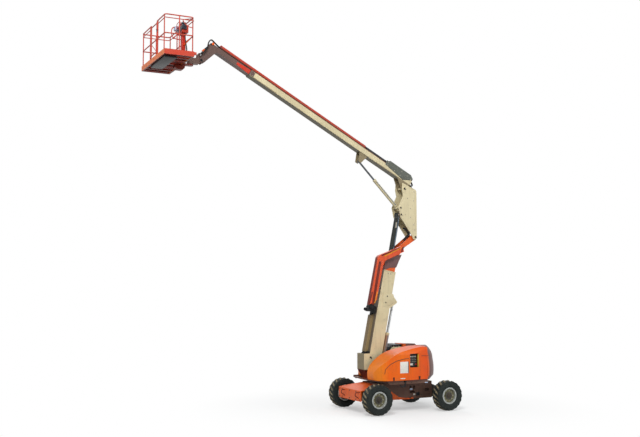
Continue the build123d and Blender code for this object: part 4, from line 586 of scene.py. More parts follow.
class BoomLiftPaint(bpy.types.PropertyGroup):
    """The paints of the machine's main parts."""
    cream: FloatVectorProperty(name="Cream", description="Booms, upright and turret", default=srgb("#DCCFA8"),
                               **COLOUR)
    orange: FloatVectorProperty(name="Orange", description="Counterweight, fly and carrier",
                                default=srgb("#E8601C"), **COLOUR)
    basket: FloatVectorProperty(name="Red-orange", description="Platform rails and console",
                                default=srgb("#C4412E"), **COLOUR)
    brown: FloatVectorProperty(name="Brown", description="Main fly boom and platform support",
                               default=srgb("#64504A"), **COLOUR)


class BoomLiftSizes(bpy.types.PropertyGroup):
    """Sizes of the trim."""
    lug_count: IntProperty(name="Lugs per side", description="Tread lugs round each shoulder of a tyre",
                           default=19, min=10, max=30)
    lug_height: FloatProperty(name="Lug height", description="Depth of the tread", unit="LENGTH",
                              default=0.036, min=0.01, max=0.05)
    nut_count: IntProperty(name="Wheel nuts", description="Nuts on each wheel", default=9, min=5, max=12)
    groove: FloatProperty(name="Hood groove", description="Half width of the pressed line on the hood",
                          unit="LENGTH", default=0.008, min=0.002, max=0.01)
    hose: FloatProperty(name="Hose radius", description="Radius of the hydraulic hoses", unit="LENGTH",
                        default=0.014, min=0.008, max=0.03)


# ---------------------------------------------------------------- operators
class BOOMLIFT_OT_camera(bpy.types.Operator):
    """Sets the camera low and left of the machine, looking up along it"""
    bl_idname = "boomlift.camera"
    bl_label = "Camera"

    def execute(self, context):
        lens = bpy.data.cameras.new("view")
        lens.sensor_width, lens.lens, lens.clip_end = SENSOR_MM, LENS_MM, FAR_CLIP
        camera = bpy.data.objects.new("view", lens)
        camera.location, camera.rotation_euler = CAMERA_AT, CAMERA_TURN
        context.scene.collection.objects.link(camera)
        context.scene.camera = camera
        return {"FINISHED"}


class BOOMLIFT_OT_cords(bpy.types.Operator):
    """Runs the free hoses at the knee, at the main boom's nose and under the platform"""
    bl_idname = "boomlift.cords"
    bl_label = "Free hoses"
    # Name, node, body, route, its real length, radius, the shift from one hose to the next, how many.
    RUNS = [
        ("knee_hose", "knee_hoses", "tower_fly",
         [(0.056, -0.096, 4.956), (0.168, -0.096, 5.085), (0.330, -0.096, 5.222), (0.470, -0.096, 5.320),
          (0.560, -0.096, 5.405)],
         0.677, 0.014, (0, 0.034, 0), 3),
        ("nose_hose", "nose_hoses", "main_fly",
         [on_main(7.200, 0.4343, -0.0245), on_main(7.340, 0.4343, -0.0245), (-6.120, -0.075, 10.932),
          (-6.215, -0.122, 10.968), (-6.292, -0.144, 10.872), (-6.315, -0.146, 10.725),
          (-6.430, -0.146, 10.550), (-6.580, -0.147, 10.462)],
         1.090, 0.015, (0, -0.036, 0), 2),
        ("platform_hose", "platform_hoses", "platform",
         [(-6.900, -0.140, 10.440), (-6.965, -0.215, 10.405), (-6.985, -0.400, 10.385),
          (-6.995, -0.640, 10.330), (-7.012, -0.870, 10.240), (-7.012, -1.055, 10.240)],
         0.966, 0.012, (0.024, 0, -0.024), 2),
    ]

    def execute(self, context):
        rubber("cord_rubber", srgb("#101214"), srgb("#22272A"), 4.0, 0.5)
        for name, node, body, route, length, radius, shift, count in self.RUNS:
            for k in range(count):
                points = [Vector(at) + k * Vector(shift) for at in route]
                piece = hose_curve(f"{name}_{k + 1}", points, radius, 3, 5, 12)
                piece.data.materials.append(finish("cord_rubber"))
                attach(piece, body)
                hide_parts(node)
        return {"FINISHED"}


class BOOMLIFT_OT_coats(bpy.types.Operator):
    """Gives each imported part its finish"""
    bl_idname = "boomlift.coats"
    bl_label = "Coats on the packed parts"

    def execute(self, context):
        make_finishes(context.scene.boomlift_paint)
        for coat, names in NODE_FINISHES.items():
            for name in names:
                for place in NODES[name].material_slots:
                    place.material = finish(coat)
        return {"FINISHED"}


class BOOMLIFT_OT_tyres(bpy.types.Operator):
    """Models the four lugged tyres in place of the plain ones"""
    bl_idname = "boomlift.tyres"
    bl_label = "Tyres"
    PROFILE = [  # radius and distance from the tyre's middle, from the shoulder round to the bead
        (0.438, 0.150), (0.412, 0.162), (0.378, 0.1685), (0.340, 0.1690), (0.312, 0.165), (0.303, 0.168),
        (0.296, 0.163), (0.280, 0.152), (0.268, 0.142), (0.258, 0.134), (0.257, 0.1074), (0.2230, 0.1074),
    ]

    def carcass(self, hub):
        """The tyre's body: a hoop whose edges are drawn out and in, down both sidewalls to the beads."""
        deselect()
        bpy.ops.mesh.primitive_cylinder_add(vertices=84, radius=0.440, depth=0.27, end_fill_type="NOTHING",
                                            location=hub, rotation=(math.pi / 2, 0, 0))
        piece = bpy.context.object
        bpy.ops.object.transform_apply(location=True, rotation=True, scale=True)
        for side in (-1, 1):
            radius, reach = 0.440, 0.135
            for next_radius, next_reach in self.PROFILE:
                edge_y = hub[1] + side * reach
                bpy.ops.object.mode_set(mode="EDIT")
                bpy.ops.mesh.select_mode(type="VERT")
                bpy.ops.mesh.select_all(action="DESELECT")
                bpy.ops.object.mode_set(mode="OBJECT")
                for point in piece.data.vertices:
                    away = math.hypot(point.co.x - hub[0], point.co.z - hub[2])
                    point.select = abs(point.co.y - edge_y) < 1e-5 and abs(away - radius) < 1e-4
                bpy.ops.object.mode_set(mode="EDIT")
                move = {"value": (0, side * (next_reach - reach), 0)}
                bpy.ops.mesh.extrude_edges_move(TRANSFORM_OT_translate=move)
                share = next_radius / radius
                bpy.ops.transform.resize(value=(share, 1, share), center_override=hub)
                bpy.ops.object.mode_set(mode="OBJECT")
                radius, reach = next_radius, next_reach
        bpy.ops.object.mode_set(mode="EDIT")
        bpy.ops.mesh.select_all(action="DESELECT")
        bpy.ops.mesh.select_mode(type="EDGE")
        bpy.ops.mesh.select_non_manifold()
        bpy.ops.mesh.bridge_edge_loops()
        bpy.ops.mesh.select_all(action="SELECT")
        bpy.ops.mesh.normals_make_consistent(inside=False)
        bpy.ops.object.mode_set(mode="OBJECT")
        return piece

    def lug(self, height):
        """One tread lug at the origin: its length along Y, its outer end drawn down over the shoulder."""
        piece = block((0, 0, 0), (0.060, 0.146, height), 0.005)
        pick(piece, lambda face: face.normal.z > 0.9)
        bpy.ops.transform.resize(value=(0.74, 0.96, 1), center_override=(0, 0, 0))
        bpy.ops.object.mode_set(mode="OBJECT")
        for point in piece.data.vertices:
            if point.co.y > 0.05:
                point.co.z -= 0.010 + 0.25 * (point.co.y - 0.05)
            point.co.x += 0.42 * point.co.y
        return piece

    def execute(self, context):
        sizes = context.scene.boomlift_sizes
        for wheel, hub, _ in WHEELS:
            parts = [self.carcass(hub)]
            template = self.lug(sizes.lug_height)
            rib = block((0, 0, 0), (0.040, 0.020, 0.070), 0.005)
            for side in (-1, 1):
                for step in range(sizes.lug_count):
                    angle = 2 * math.pi * (step + (0.5 if side > 0 else 0)) / sizes.lug_count
                    turn = Matrix.Rotation(angle, 4, "Y")
                    flip = Matrix.Rotation(math.pi if side < 0 else 0.0, 4, "Z")
                    for source, spot, lean in ((template, (0, side * 0.0790, 0.4635 - sizes.lug_height / 2),
                                                0.0),
                                               (rib, (0, side * 0.1570, 0.4050), side * -0.18)):
                        place = Matrix.Translation(spot) @ Matrix.Rotation(lean, 4, "X") @ flip
                        parts.append(twin(source, Matrix.Translation(hub) @ turn @ place))
            bpy.data.objects.remove(template)
            bpy.data.objects.remove(rib)
            piece = fit(f"lugged_tyre_{wheel}", f"{wheel}_wheel", "tyre_rubber", parts, 40)
            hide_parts(f"tyre_{wheel}")
        return {"FINISHED"}


class BOOMLIFT_OT_wheel_trim(bpy.types.Operator):
    """Adds wheel nuts, hub caps and hub bolts to each wheel"""
    bl_idname = "boomlift.wheel_trim"
    bl_label = "Wheel nuts and hubs"

    def execute(self, context):
        count = context.scene.boomlift_sizes.nut_count
        for place, (x, y, z), out in WHEELS:
            nuts = ring((x, y + out * 0.067, z), 0.165, count, (0, out, 0))
            bolt_on(f"wheel_nuts_{place}", f"{place}_wheel", "zinc_plate", 0.030, nuts)
            hub = bar((x, y + out * 0.090, z), (x, y + out * 0.118, z), 0.072, 32, 0.25)
            cap = bar((x, y + out * 0.110, z), (x, y + out * 0.134, z), 0.034, 24, 0.2)
            fit(f"hub_cap_{place}", f"{place}_wheel", "axle_enamel", [hub, cap])
            hub_bolts = ring((x, y + out * 0.093, z), 0.095, 8, (0, out, 0))
            bolt_on(f"hub_bolts_{place}", f"{place}_wheel", "cast_iron", 0.014, hub_bolts)
        return {"FINISHED"}


class BOOMLIFT_OT_hood_trim(bpy.types.Operator):
    """Adds the pressed line as a dark tube of painted shade, blank plates with a painted shadow strip, latches
    and vents to the hoods
    """
    bl_idname = "boomlift.hood_trim"
    bl_label = "Hood trim"

    def execute(self, context):
        groove = context.scene.boomlift_sizes.groove
        for side, body in ((-1, "hood_left"), (1, "hood_right")):
            corners = [(-0.993, 1.209), (-0.976, 1.349), (-0.859, 1.486), (-0.625, 1.590), (-0.356, 1.643),
                       (-0.135, 1.652)]
            if side > 0:
                corners = [(px * 0.5 - 0.06, pz - 0.08) for px, pz in corners]
            # A black tube along the hood's pressed line: painted shade in the crease.
            line = [on_side(body, x0 + share * (x1 - x0), z0 + share * (z1 - z0), side)
                    for (x0, z0), (x1, z1) in zip(corners, corners[1:]) for share in (0.0, 0.25, 0.5, 0.75)]
            fit(f"hood_crease_shade_{body}", body, "track_nylon", [pipe(line, groove)])
            seam = block((0.427, side * 1.137, 1.720), (0.30, 0.010, 0.008), 0.002)
            fit(f"hood_seam_{body}", body, "track_nylon", [seam])
            latches = []
            for x in (-0.72, 0.20) if side < 0 else (-0.30, 0.20):
                edge_y = side * (1.163 if x < 0 else 1.143)
                latches += [block((x, edge_y, 1.050), (0.045, 0.014, 0.080), 0.005),
                            block((x, edge_y, 1.096), (0.060, 0.020, 0.022), 0.006)]
            fit(f"hood_latches_{body}", body, "hose_rubber", latches)
        sign = block((-0.358, -1.1625, 1.390), (0.280, 0.005, 0.340), 0.002)
        fit("hood_plate", "hood_left", "label_vinyl", [sign])
        # A dark strip at the white plate's right edge: a painted shadow.
        plate_shadow_strip = block((-0.205, -1.1625, 1.390), (0.022, 0.006, 0.340), 0.002)
        fit("hood_plate_shadow", "hood_left", "console_face", [plate_shadow_strip])
        tag = block((-0.405, -1.1635, 1.062), (0.162, 0.005, 0.024), 0.001)
        fit("hood_tag", "hood_left", "label_vinyl", [tag])
        screen = plate([(-0.70, 1.45), (-0.50, 1.62), (-0.30, 1.735), (-0.10, 1.81), (0.05, 1.87),
                        (0.20, 1.93), (0.505, 1.955), (0.505, 1.45)], 0.410, 0.012)
        fit("hood_screen", "hood_right", "black_enamel", [screen])
        # The right hood's louvres, and the black cover on its slope.
        slats = [block((0.02, 1.164, 1.26 + 0.045 * k), (0.46, 0.014, 0.030), 0.006) for k in range(9)]
        fit("hood_louvres", "hood_right", "black_enamel", slats)
        ridge = ((-0.56, 1.585), (-0.40, 1.705), (-0.25, 1.780), (-0.10, 1.838), (0.05, 1.892), (0.22, 1.955))
        cover = []
        for (x0, z0), (x1, z1) in zip(ridge, ridge[1:]):
            slope = math.atan2(z1 - z0, x1 - x0)
            for share in (0.25, 0.75):
                at = (x0 + share * (x1 - x0), 0.66, z0 + share * (z1 - z0) + 0.010)
                cover += [block(at, (0.030, 0.54, 0.034), 0.006, -slope),
                          block((at[0], 0.66, at[2] - 0.008), (0.092, 0.50, 0.012), 0.003, -slope)]
        fit("hood_grille", "hood_right", "black_enamel", cover)
        return {"FINISHED"}


class BOOMLIFT_OT_ground_panel(bpy.types.Operator):
    """Adds the ground controls in the left hood's opening"""
    bl_idname = "boomlift.ground_panel"
    bl_label = "Ground controls"

    def execute(self, context):
        panel = block((0.017, -1.056, 1.575), (0.268, 0.014, 0.340), 0.005)
        lid = block((0.017, -1.072, 1.745), (0.276, 0.050, 0.014), 0.004)
        fit("ground_panel", "turntable", "track_nylon", [panel, lid])
        switches = []
        for row, z in enumerate((1.665, 1.605, 1.545)):
            for column in range(4):
                x = -0.075 + 0.062 * column
                tip = (x, -1.094, z + (0.012 if (row + column) % 2 else -0.010))
                switches += [bar((x, -1.062, z), (x, -1.070, z), 0.011, 12),
                             bar((x, -1.068, z), tip, 0.004, 10)]
        fit("ground_switches", "turntable", "zinc_plate", switches)
        stop = [bar((0.105, -1.062, 1.465), (0.105, -1.080, 1.465), 0.014, 20),
                bar((0.105, -1.078, 1.465), (0.105, -1.094, 1.465), 0.024, 28, 0.3)]
        fit("ground_stop", "turntable", "red_knob", stop)
        tags = [block((-0.06 + 0.075 * k, -1.0635, 1.702), (0.052, 0.003, 0.020), 0.001) for k in range(3)]
        tags.append(block((-0.045, -1.0635, 1.462), (0.105, 0.003, 0.060), 0.001))
        fit("ground_tags", "turntable", "label_vinyl", tags)
        # A yellow block on the recess's side wall: a painted highlight where the lamps light the wall.
        glow = [block((0.168, -1.110, 1.580), (0.012, 0.070, 0.380), 0.004)]
        fit("recess_wall_highlight", "hood_left", "recess_highlight_yellow", glow)
        return {"FINISHED"}


class BOOMLIFT_OT_chassis_trim(bpy.types.Operator):
    """Adds bolts, blank plates, gussets, the rail's teeth and brake hoses to the chassis"""
    bl_idname = "boomlift.chassis_trim"
    bl_label = "Chassis trim"

    def execute(self, context):
        hose = context.scene.boomlift_sizes.hose
        outer = ring((0, 0, 0.9197), 0.447, 30, (0, 0, 1), 0.5)
        bolt_on("bearing_bolts", "chassis", "cast_iron", 0.020, outer)
        fit("frame_tag", "chassis", "label_vinyl",
            [block((0.429, -0.4715, 0.481), (0.070, 0.004, 0.050), 0.001)])
        fit("frame_box", "chassis", "box_polyester",
            [block((0.308, -0.4815, 0.643), (0.090, 0.024, 0.060), 0.006)])
        fit("frame_port", "chassis", "black_enamel",
            [block((0.559, -0.4745, 0.483), (0.130, 0.010, 0.110), 0.005)])
        bolts = [(Vector((x, side * 0.470, z)), (0, side, 0)) for side in (-1, 1)
                 for x, z in ((-0.82, 0.80), (-0.74, 0.80), (-0.82, 0.72), (0.70, 0.82), (0.84, 0.82),
                              (0.98, 0.82), (0.98, 0.45), (0.70, 0.45))]
        bolt_on("frame_bolts", "chassis", "cast_iron", 0.026, bolts)
        nose_bolts = [(Vector((-1.600, y, z)), (-1, 0, 0)) for y in (-0.64, -0.40, 0.0, 0.48, 0.64)
                      for z in (0.430, 0.660)]
        bolt_on("nose_bolts", "chassis", "cast_iron", 0.028, nose_bolts)
        gussets = [block((-1.520, y, 0.560), (0.120, 0.012, 0.270), 0.004)
                   for y in (-0.50, -0.12, 0.20, 0.52)]
        fit("nose_gussets", "chassis", "nose_enamel", gussets)
        steps = [block((-0.30 + 0.16 * k, -0.4885, 0.378 - 0.012 * (k % 2)), (0.075, 0.008, 0.045))
                 for k in range(5)]
        fit("rail_teeth", "chassis", "nose_enamel", steps)
        for side in (-1, 1):
            lines = [pipe([(-1.12, side * (0.50 + 0.05 * k), 0.52),
                           (-1.02, side * (0.52 + 0.05 * k), 0.64 + 0.03 * k), (-0.92, side * 0.497, 0.70),
                           (-0.80, side * 0.495, 0.60 + 0.05 * k)], hose * 0.7)
                     for k in range(3)]
            fit(f"brake_hoses_{HAND[side]}", "chassis", "hose_rubber", lines)
        return {"FINISHED"}


class BOOMLIFT_OT_turret_trim(bpy.types.Operator):
    """Adds the tower pin's caps, the skirt's latch and the hoses into the trough"""
    bl_idname = "boomlift.turret_trim"
    bl_label = "Turret trim"

    def execute(self, context):
        hose = context.scene.boomlift_sizes.hose
        for side in (-1, 1):
            pin_cap(f"tower_pin_cap_{HAND[side]}", (-0.984, side * 0.2272, 1.651), side, 0.030, "turntable")
            edge = [block((-1.085, side * 0.2165, 1.52), (0.200, 0.006, 0.012), 0.002, math.radians(-55)),
                    block((-0.60, side * 0.2165, 1.36), (0.010, 0.006, 0.20), 0.002)]
            fit(f"turret_ribs_{HAND[side]}", "turntable", "cream_enamel", edge)
        lines = []
        for k in range(5):
            y = 0.020 + 0.032 * k
            top, low = on_tower(0.34 + 0.02 * k, 0.072, y), on_tower(0.16, 0.074, y)
            lines.append(pipe([top, low, on_tower(0.05, 0.12 + 0.008 * k, y),
                               (-1.160 + 0.012 * k, y * 0.8, 1.730), (-1.110 + 0.01 * k, y * 0.6, 1.600),
                               (-1.080, y * 0.5, 1.420)], hose))
        cluster = join("turret_hoses", lines)
        settle(cluster, None, "hose_rubber")
        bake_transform(cluster)
        hook = [plate([(-0.30, 1.020), (-0.25, 1.020), (-0.25, 0.900), (-0.29, 0.800), (-0.42, 0.790),
                       (-0.47, 0.850), (-0.45, 0.870), (-0.41, 0.830), (-0.33, 0.840), (-0.30, 0.900)],
                       -1.090, 0.016, 0.004),
                block((-0.275, -1.092, 0.960), (0.070, 0.022, 0.050), 0.004)]
        fit("skirt_latch", "turntable", "black_enamel", hook)
        tag = block((0.483, -1.0815, 0.900), (0.110, 0.004, 0.026), 0.001)
        fit("skirt_plate", "turntable", "box_polyester", [tag])
        cluster = [bar((-1.13 + 0.045 * k, -0.135, 1.800),
                       (-1.06 + 0.045 * k, -0.075, 1.790 + 0.02 * (k % 2)), 0.030, 20)
                   for k in range(4)]
        fit("turret_couplings", "tower_base", "hose_rubber", cluster)
        bolts = [(Vector((x, side * 1.079, 0.920)), (0, side, 0)) for side in (-1, 1)
                 for x in (-0.70, -0.50, -0.05, 0.15, 0.35)]
        bolt_on("skirt_bolts", "turntable", "cast_iron", 0.020, bolts)
        return {"FINISHED"}


class BOOMLIFT_OT_guide_trim(bpy.types.Operator):
    """Adds the hose guide's grooves in painted shade, the gooseneck's painted shadow, lighter edge strips,
    rollers and brackets on the tower boom
    """
    bl_idname = "boomlift.guide_trim"
    bl_label = "Hose guide trim"

    def execute(self, context):
        # Dark red strips in the guide's channel: painted shade in its groove.
        groove = block(on_tower(2.27, 0.275, -0.2945), (0.070, 0.005, 1.36), 0.002, TOWER_TILT)
        crank = block(on_tower(3.33, -0.045, -0.2945), (0.050, 0.005, 0.72), 0.002, math.radians(70.2))
        fit("guide_channel_shade", "tower_fly", "dark_red_enamel", [groove, crank])
        seams = [block(on_tower(2.35, v, -0.2950), (0.007, 0.006, 1.30), 0.002, TOWER_TILT)
                 for v in (0.236, 0.314)]
        fit("guide_seams", "tower_fly", "track_nylon", seams)
        ends = [block(on_tower(3.535, -0.479, -0.222), (0.150, 0.118, 0.020), 0.004,
                      TOWER_TILT - math.radians(56))]
        fit("guide_mouth", "tower_fly", "track_nylon", ends)
        bolts = [(on_tower(u, v, -0.2935), NEAR) for u in (1.66, 1.95, 2.30, 2.65, 2.95)
                 for v in (0.190, 0.378)]
        bolt_on("guide_bolts", "tower_fly", "zinc_plate", 0.010, bolts)
        box = block(on_tower(2.075, 0.050, -0.075), (0.060, 0.120, 0.210), 0.008, TOWER_TILT)
        lid = block(on_tower(2.075, 0.084, -0.075), (0.012, 0.104, 0.190), 0.004, TOWER_TILT)
        fit("valve_box", "tower_base", "grey_vinyl", [box, lid])
        # A mauve sheet on the gooseneck's near side: the guide's shadow, painted.
        shadow_sheet = plate([(-0.434, 4.339), (-0.419, 4.591), (-0.243, 4.755), (0.201, 4.823), (-0.005, 4.415),
                      (-0.245, 4.405)], -0.1585, 0.008, 0.003)
        fit("gooseneck_shadow_plate", "tower_fly", "gooseneck_shadow_mauve", [shadow_sheet])
        # Bright orange strips along the guide's edges: real strips, painted lighter as a painted highlight.
        highlit_strips = [plate([(-0.514, 4.783), (-0.500, 4.745), (0.112, 5.020), (0.138, 5.057)], -0.2965, 0.004,
                       0.001),
                 plate([(-0.785, 3.661), (-0.755, 3.661), (-0.858, 3.308), (-0.888, 3.308)], -0.2965, 0.004,
                       0.001)]
        fit("guide_highlight_strips", "tower_fly", "guide_highlight_orange", highlit_strips)
        ends = [plate([(0.138, 5.057), (0.200, 5.040), (0.150, 4.905), (0.085, 4.900)], -0.2965, 0.004,
                      0.001),
                plate([(-0.968, 3.661), (-0.925, 3.661), (-1.050, 3.257), (-1.090, 3.257)], -0.2965, 0.004,
                      0.001)]
        fit("guide_ends", "tower_fly", "dark_red_enamel", ends)
        spread = plate([(-0.495, 3.588), (-0.140, 3.586), (-0.037, 3.334), (-0.247, 3.229), (-0.518, 3.196)],
                       -0.1790, 0.008, 0.003)
        fit("tower_bracket", "tower_base", "cream_enamel", [spread])
        slots = [bar((x, -0.1835, z), (x, -0.1875, z), 0.022, 20)
                 for x, z in ((-0.350, 3.515), (-0.405, 3.319))]
        fit("tower_bracket_slots", "tower_base", "black_enamel", slots)
        # Rollers over which the hoses turn.
        rollers = [bar((x, y - 0.012, z), (x, y + 0.012, z), radius, 28, 0.15)
                   for x, z, radius in ((-1.022, 3.124, 0.050), (-0.850, 3.200, 0.026))
                   for y in (-0.182, -0.070, 0.042)]
        fit("band_rollers", "tower_fly", "black_enamel", rollers)
        pads = [(on_tower(2.66, v, side * 0.175), (0, side, 0)) for side in (-1, 1) for v in (-0.24, -0.15)]
        pads += [(on_tower(2.66, 0.020, y), tuple(FRONT_TOWER)) for y in (-0.06, 0.06)]
        bolt_on("tower_pad_bolts", "tower_base", "zinc_plate", 0.026, pads)
        collar = [block(on_tower(2.735, -0.195, side * 0.1790), (0.430, 0.008, 0.030), 0.002, TOWER_TILT)
                  for side in (-1, 1)]
        fit("tower_collar", "tower_base", "cream_enamel", collar)
        return {"FINISHED"}


class BOOMLIFT_OT_upright_trim(bpy.types.Operator):
    """Adds pin caps, bolts and the torn bracket on the upright"""
    bl_idname = "boomlift.upright_trim"
    bl_label = "Upright trim"
    PINS = [("knee", 0.677, 5.394, 0.030), ("boom", 0.280, 6.930, 0.030), ("lift", 0.135, 6.317, 0.024),
            ("cylinder", 0.150, 6.100, 0.024)]

    def execute(self, context):
        hose = context.scene.boomlift_sizes.hose
        for side in (-1, 1):
            hand = HAND[side]
            for name, x, z, radius in self.PINS:
                pin_cap(f"{name}_pin_cap_{hand}", (x, side * 0.2282, z), side, radius, "upright")
            rib = [block((0.716, side * 0.2185, 6.20), (0.030, 0.006, 1.16), 0.002),
                   block((0.455, side * 0.2185, 6.985), (0.44, 0.006, 0.026), 0.002, math.radians(20.5))]
            fit(f"upright_ribs_{hand}", "upright", "cream_enamel", rib)
        bolts = [(Vector((x, side * 0.216, z)), (0, side, 0)) for side in (-1, 1)
                 for x, z in ((0.50, 6.30), (0.50, 6.02), (0.62, 6.55), (0.62, 5.78), (0.64, 6.84),
                              (0.40, 6.62), (0.66, 5.62))]
        bolt_on("upright_bolts", "upright", "zinc_plate", 0.024, bolts)
        teeth = [block((0.096 + 0.012 * (k % 2), -0.206, 6.05 + 0.034 * k), (0.060, 0.018, 0.022), 0.003,
                       math.radians(14))
                 for k in range(7)]
        fit("torn_bracket", "upright", "brown_enamel", teeth)
        inner = [pipe([(0.315, y, 5.677), (0.470, y, 5.560), (0.507, y, 5.481), (0.420, y, 5.405),
                       (0.300, y, 5.290)], 0.022)
                 for y in (-0.150, -0.115, -0.080)]
        knee = join("knee_inner_hoses", inner)
        settle(knee, None, "hose_rubber")
        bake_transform(knee)
        valve = [bar((0.030, -0.132, 5.852), (0.008, -0.132, 5.669), 0.018, 16)]
        fit("knee_valve", "upright_barrel", "zinc_plate", valve)
        band = [pipe([on_main(-0.200, 0.225, y), on_main(-0.290, 0.270, y), on_main(-0.230, 0.330, y),
                      on_main(-0.120, 0.400, y)], 0.018) for y in (-0.105, -0.070)]
        fit("tail_band", "main_base", "hose_rubber", band)
        # Hoses from the knee up the upright's inside, and over its top into the main boom's tail.
        risers = []
        for k in range(4):
            y = -0.095 + 0.030 * k
            risers.append(pipe([(0.655, y, 5.640), (0.600, y, 5.720), (0.560, y, 5.900), (0.640, y, 6.150),
                                (0.655, y, 6.450), (0.650, y, 6.700)], hose))
        fit("upright_hoses", "upright", "hose_rubber", risers)
        over = []
        for k in range(5):
            y = -0.080 + 0.034 * k
            over.append(pipe([(0.652, y, 6.680), (0.665, y, 6.860), (0.640, y, 6.985),
                              on_main(-0.235, 0.235, y), on_main(-0.150, 0.290, y), on_main(0.02, 0.300, y)],
                              hose))
        loop = join("tail_hoses", over)
        settle(loop, None, "hose_rubber")
        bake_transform(loop)
        return {"FINISHED"}


class BOOMLIFT_OT_cylinder_trim(bpy.types.Operator):
    """Adds glands, ports and pipes to the hydraulic cylinders"""
    bl_idname = "boomlift.cylinder_trim"
    bl_label = "Cylinder trim"
    # Name, pin at the barrel, a point on the rod, barrel length, barrel radius, y of each ram, finish.
    RAMS = [
        ("tower_lift", (-0.520, 1.150), (-0.040, 3.330), 1.250, 0.066, (0.0,), "cream_enamel"),
        ("upright", (0.150, 6.100), (-0.355, 3.613), 1.325, 0.054, (-0.062, 0.062), "grey_vinyl"),
        ("main_lift", (0.135, 6.317), (-1.259, 7.732), 1.200, 0.052, (0.0,), "cream_enamel"),
        ("level", (-6.179, 10.836), (-6.544, 10.510), 0.320, 0.032, (0.0,), "orange_enamel"),
    ]

    def execute(self, context):
        for name, foot, eye, length, radius, places, coat in self.RAMS:
            line = Vector((eye[0] - foot[0], 0, eye[1] - foot[1])).normalized()
            glands, tubes = [], []
            for y in places:
                base = Vector((foot[0], y, foot[1]))
                glands += [bar(base + line * (length - 0.050), base + line * (length + 0.006), radius * 1.10,
                               32, 0.08),
                           bar(base + line * (length - 0.085), base + line * (length - 0.056), radius * 1.05,
                               32, 0.06),
                           bar(base + line * (radius * 1.5), base + line * (radius * 1.5 + 0.02),
                               radius * 1.05, 32, 0.3)]
                if name != "level":
                    off = Vector((0, -1, 0)) * (radius + 0.012)
                    low, top = base + off + line * 0.12, base + off + line * (length - 0.08)
                    tubes.append(pipe([base + line * 0.08 + off * 0.7, low - line * 0.03, low,
                                       low + line * 0.04, top - line * 0.04, top,
                                       top + off * -0.35 + line * 0.02], 0.008))
                    glands += [block(base + off * 0.95 + line * 0.085, (0.034, 0.030, 0.034), 0.004),
                               block(base + off * 0.95 + line * (length - 0.065), (0.034, 0.030, 0.034),
                                     0.004)]
            fit(f"{name}_glands", f"{name}_barrel" if name != "level" else "main_fly", coat, glands)
            if tubes:
                fit(f"{name}_tubes", f"{name}_barrel", "blued_tube", tubes)
        return {"FINISHED"}


class BOOMLIFT_OT_boom_trim(bpy.types.Operator):
    """Adds bolts, the hose track's links and the carrier's fittings to the main boom"""
    bl_idname = "boomlift.boom_trim"
    bl_label = "Main boom trim"
    BANDS = (1.84, 2.9, 3.9, 4.9, 5.9, 6.8, 7.22)  # how far along the boom the carrier's bands are
    LINKS, TALL_LINKS, PITCH = 37, 17, 0.08  # the track's links, the tall ones before the carrier, their spacing

    def execute(self, context):
        cover = [(on_main(u, v, side * 0.1375), (0, side, 0)) for side in (-1, 1)
                 for u, v in ((0.06, 0.440), (0.30, 0.320), (0.55, 0.340), (0.84, 0.380), (0.30, 0.460),
                              (0.84, 0.460), (-0.10, 0.412))]
        bolt_on("cover_bolts", "main_base", "zinc_plate", 0.022, cover)
        ribs = [block(on_main(u, 0.4755, side * 0.1315), (0.010, 0.004, 0.130), 0.001, MAIN_TILT)
                for side in (-1, 1) for u in (0.02, 0.42, 0.66)]
        fit("cover_ribs", "main_base", "cover_abs", ribs)
        # The track's links: a plate on each side and a bar across.
        links = []
        for k in range(self.LINKS):
            at = on_main(0.40 + self.PITCH * k, 0.482)
            links.append(block(at + ABOVE_MAIN * 0.0155, (0.018, 0.112, 0.006), 0.002, MAIN_TILT, 1))
            tall = 0.076 if k < self.TALL_LINKS else 0.030
            for side in (-1, 1):
                middle = at + Vector((0, side * 0.0680, 0)) - ABOVE_MAIN * (tall - 0.030) / 2
                links.append(block(middle, (0.066, 0.008, tall), 0.003, MAIN_TILT, 1))
        fit("track_links", "power_track", "track_nylon", links)
        pads = [(on_main(u, v, side * 0.130), (0, side, 0)) for side in (-1, 1) for u in (6.03, 6.12)
                for v in (0.255, 0.365)]
        pads += [(on_main(u, 0.405, y), tuple(ABOVE_MAIN)) for u in (6.03, 6.12) for y in (-0.06, 0.06)]
        bolt_on("mouth_bolts", "main_base", "zinc_plate", 0.024, pads)
        mouth = [block(on_main(6.075, 0.310, side * 0.1325), (0.150, 0.005, 0.150), 0.003, MAIN_TILT)
                 for side in (-1, 1)]
        fit("mouth_plates", "main_base", "brown_enamel", mouth)
        hangers = [block(on_main(u, 0.460, side * 0.0870), (0.040, 0.004, 0.088), 0.001, MAIN_TILT)
                   for side in (-1, 1) for u in self.BANDS]
        fit("carrier_bands", "main_fly", "carrier_enamel", hangers)
        bolts = [(on_main(u, 0.460, side * 0.0890), (0, side, 0)) for side in (-1, 1) for u in self.BANDS]
        bolt_on("carrier_bolts", "main_fly", "zinc_plate", 0.014, bolts)
        cheek = outline((0.93, 0.35), (0.14, 0.245), (-0.155, 0.41), (0.03, 0.494), (0.93, 0.50))
        sides = [plate(cheek, side * 0.1345, 0.006, 0.002) for side in (-1, 1)]
        fit("cover_cheeks", "main_base", "cover_abs", sides)
        corners = outline((6.626, 0.348), (6.628, 0.271), (6.160, 0.240), (6.160, 0.380))
        wedge = plate(corners, -0.1145, 0.004, 0.001)
        fit("fly_wedge", "main_fly", "red_enamel", [wedge])
        rail = [block(on_main(3.2, 0.228, side * 0.1325), (3.9, 0.005, 0.018), 0.002, MAIN_TILT)
                for side in (-1, 1)]
        fit("boom_weld_rails", "main_base", "cream_enamel", rail)
        return {"FINISHED"}


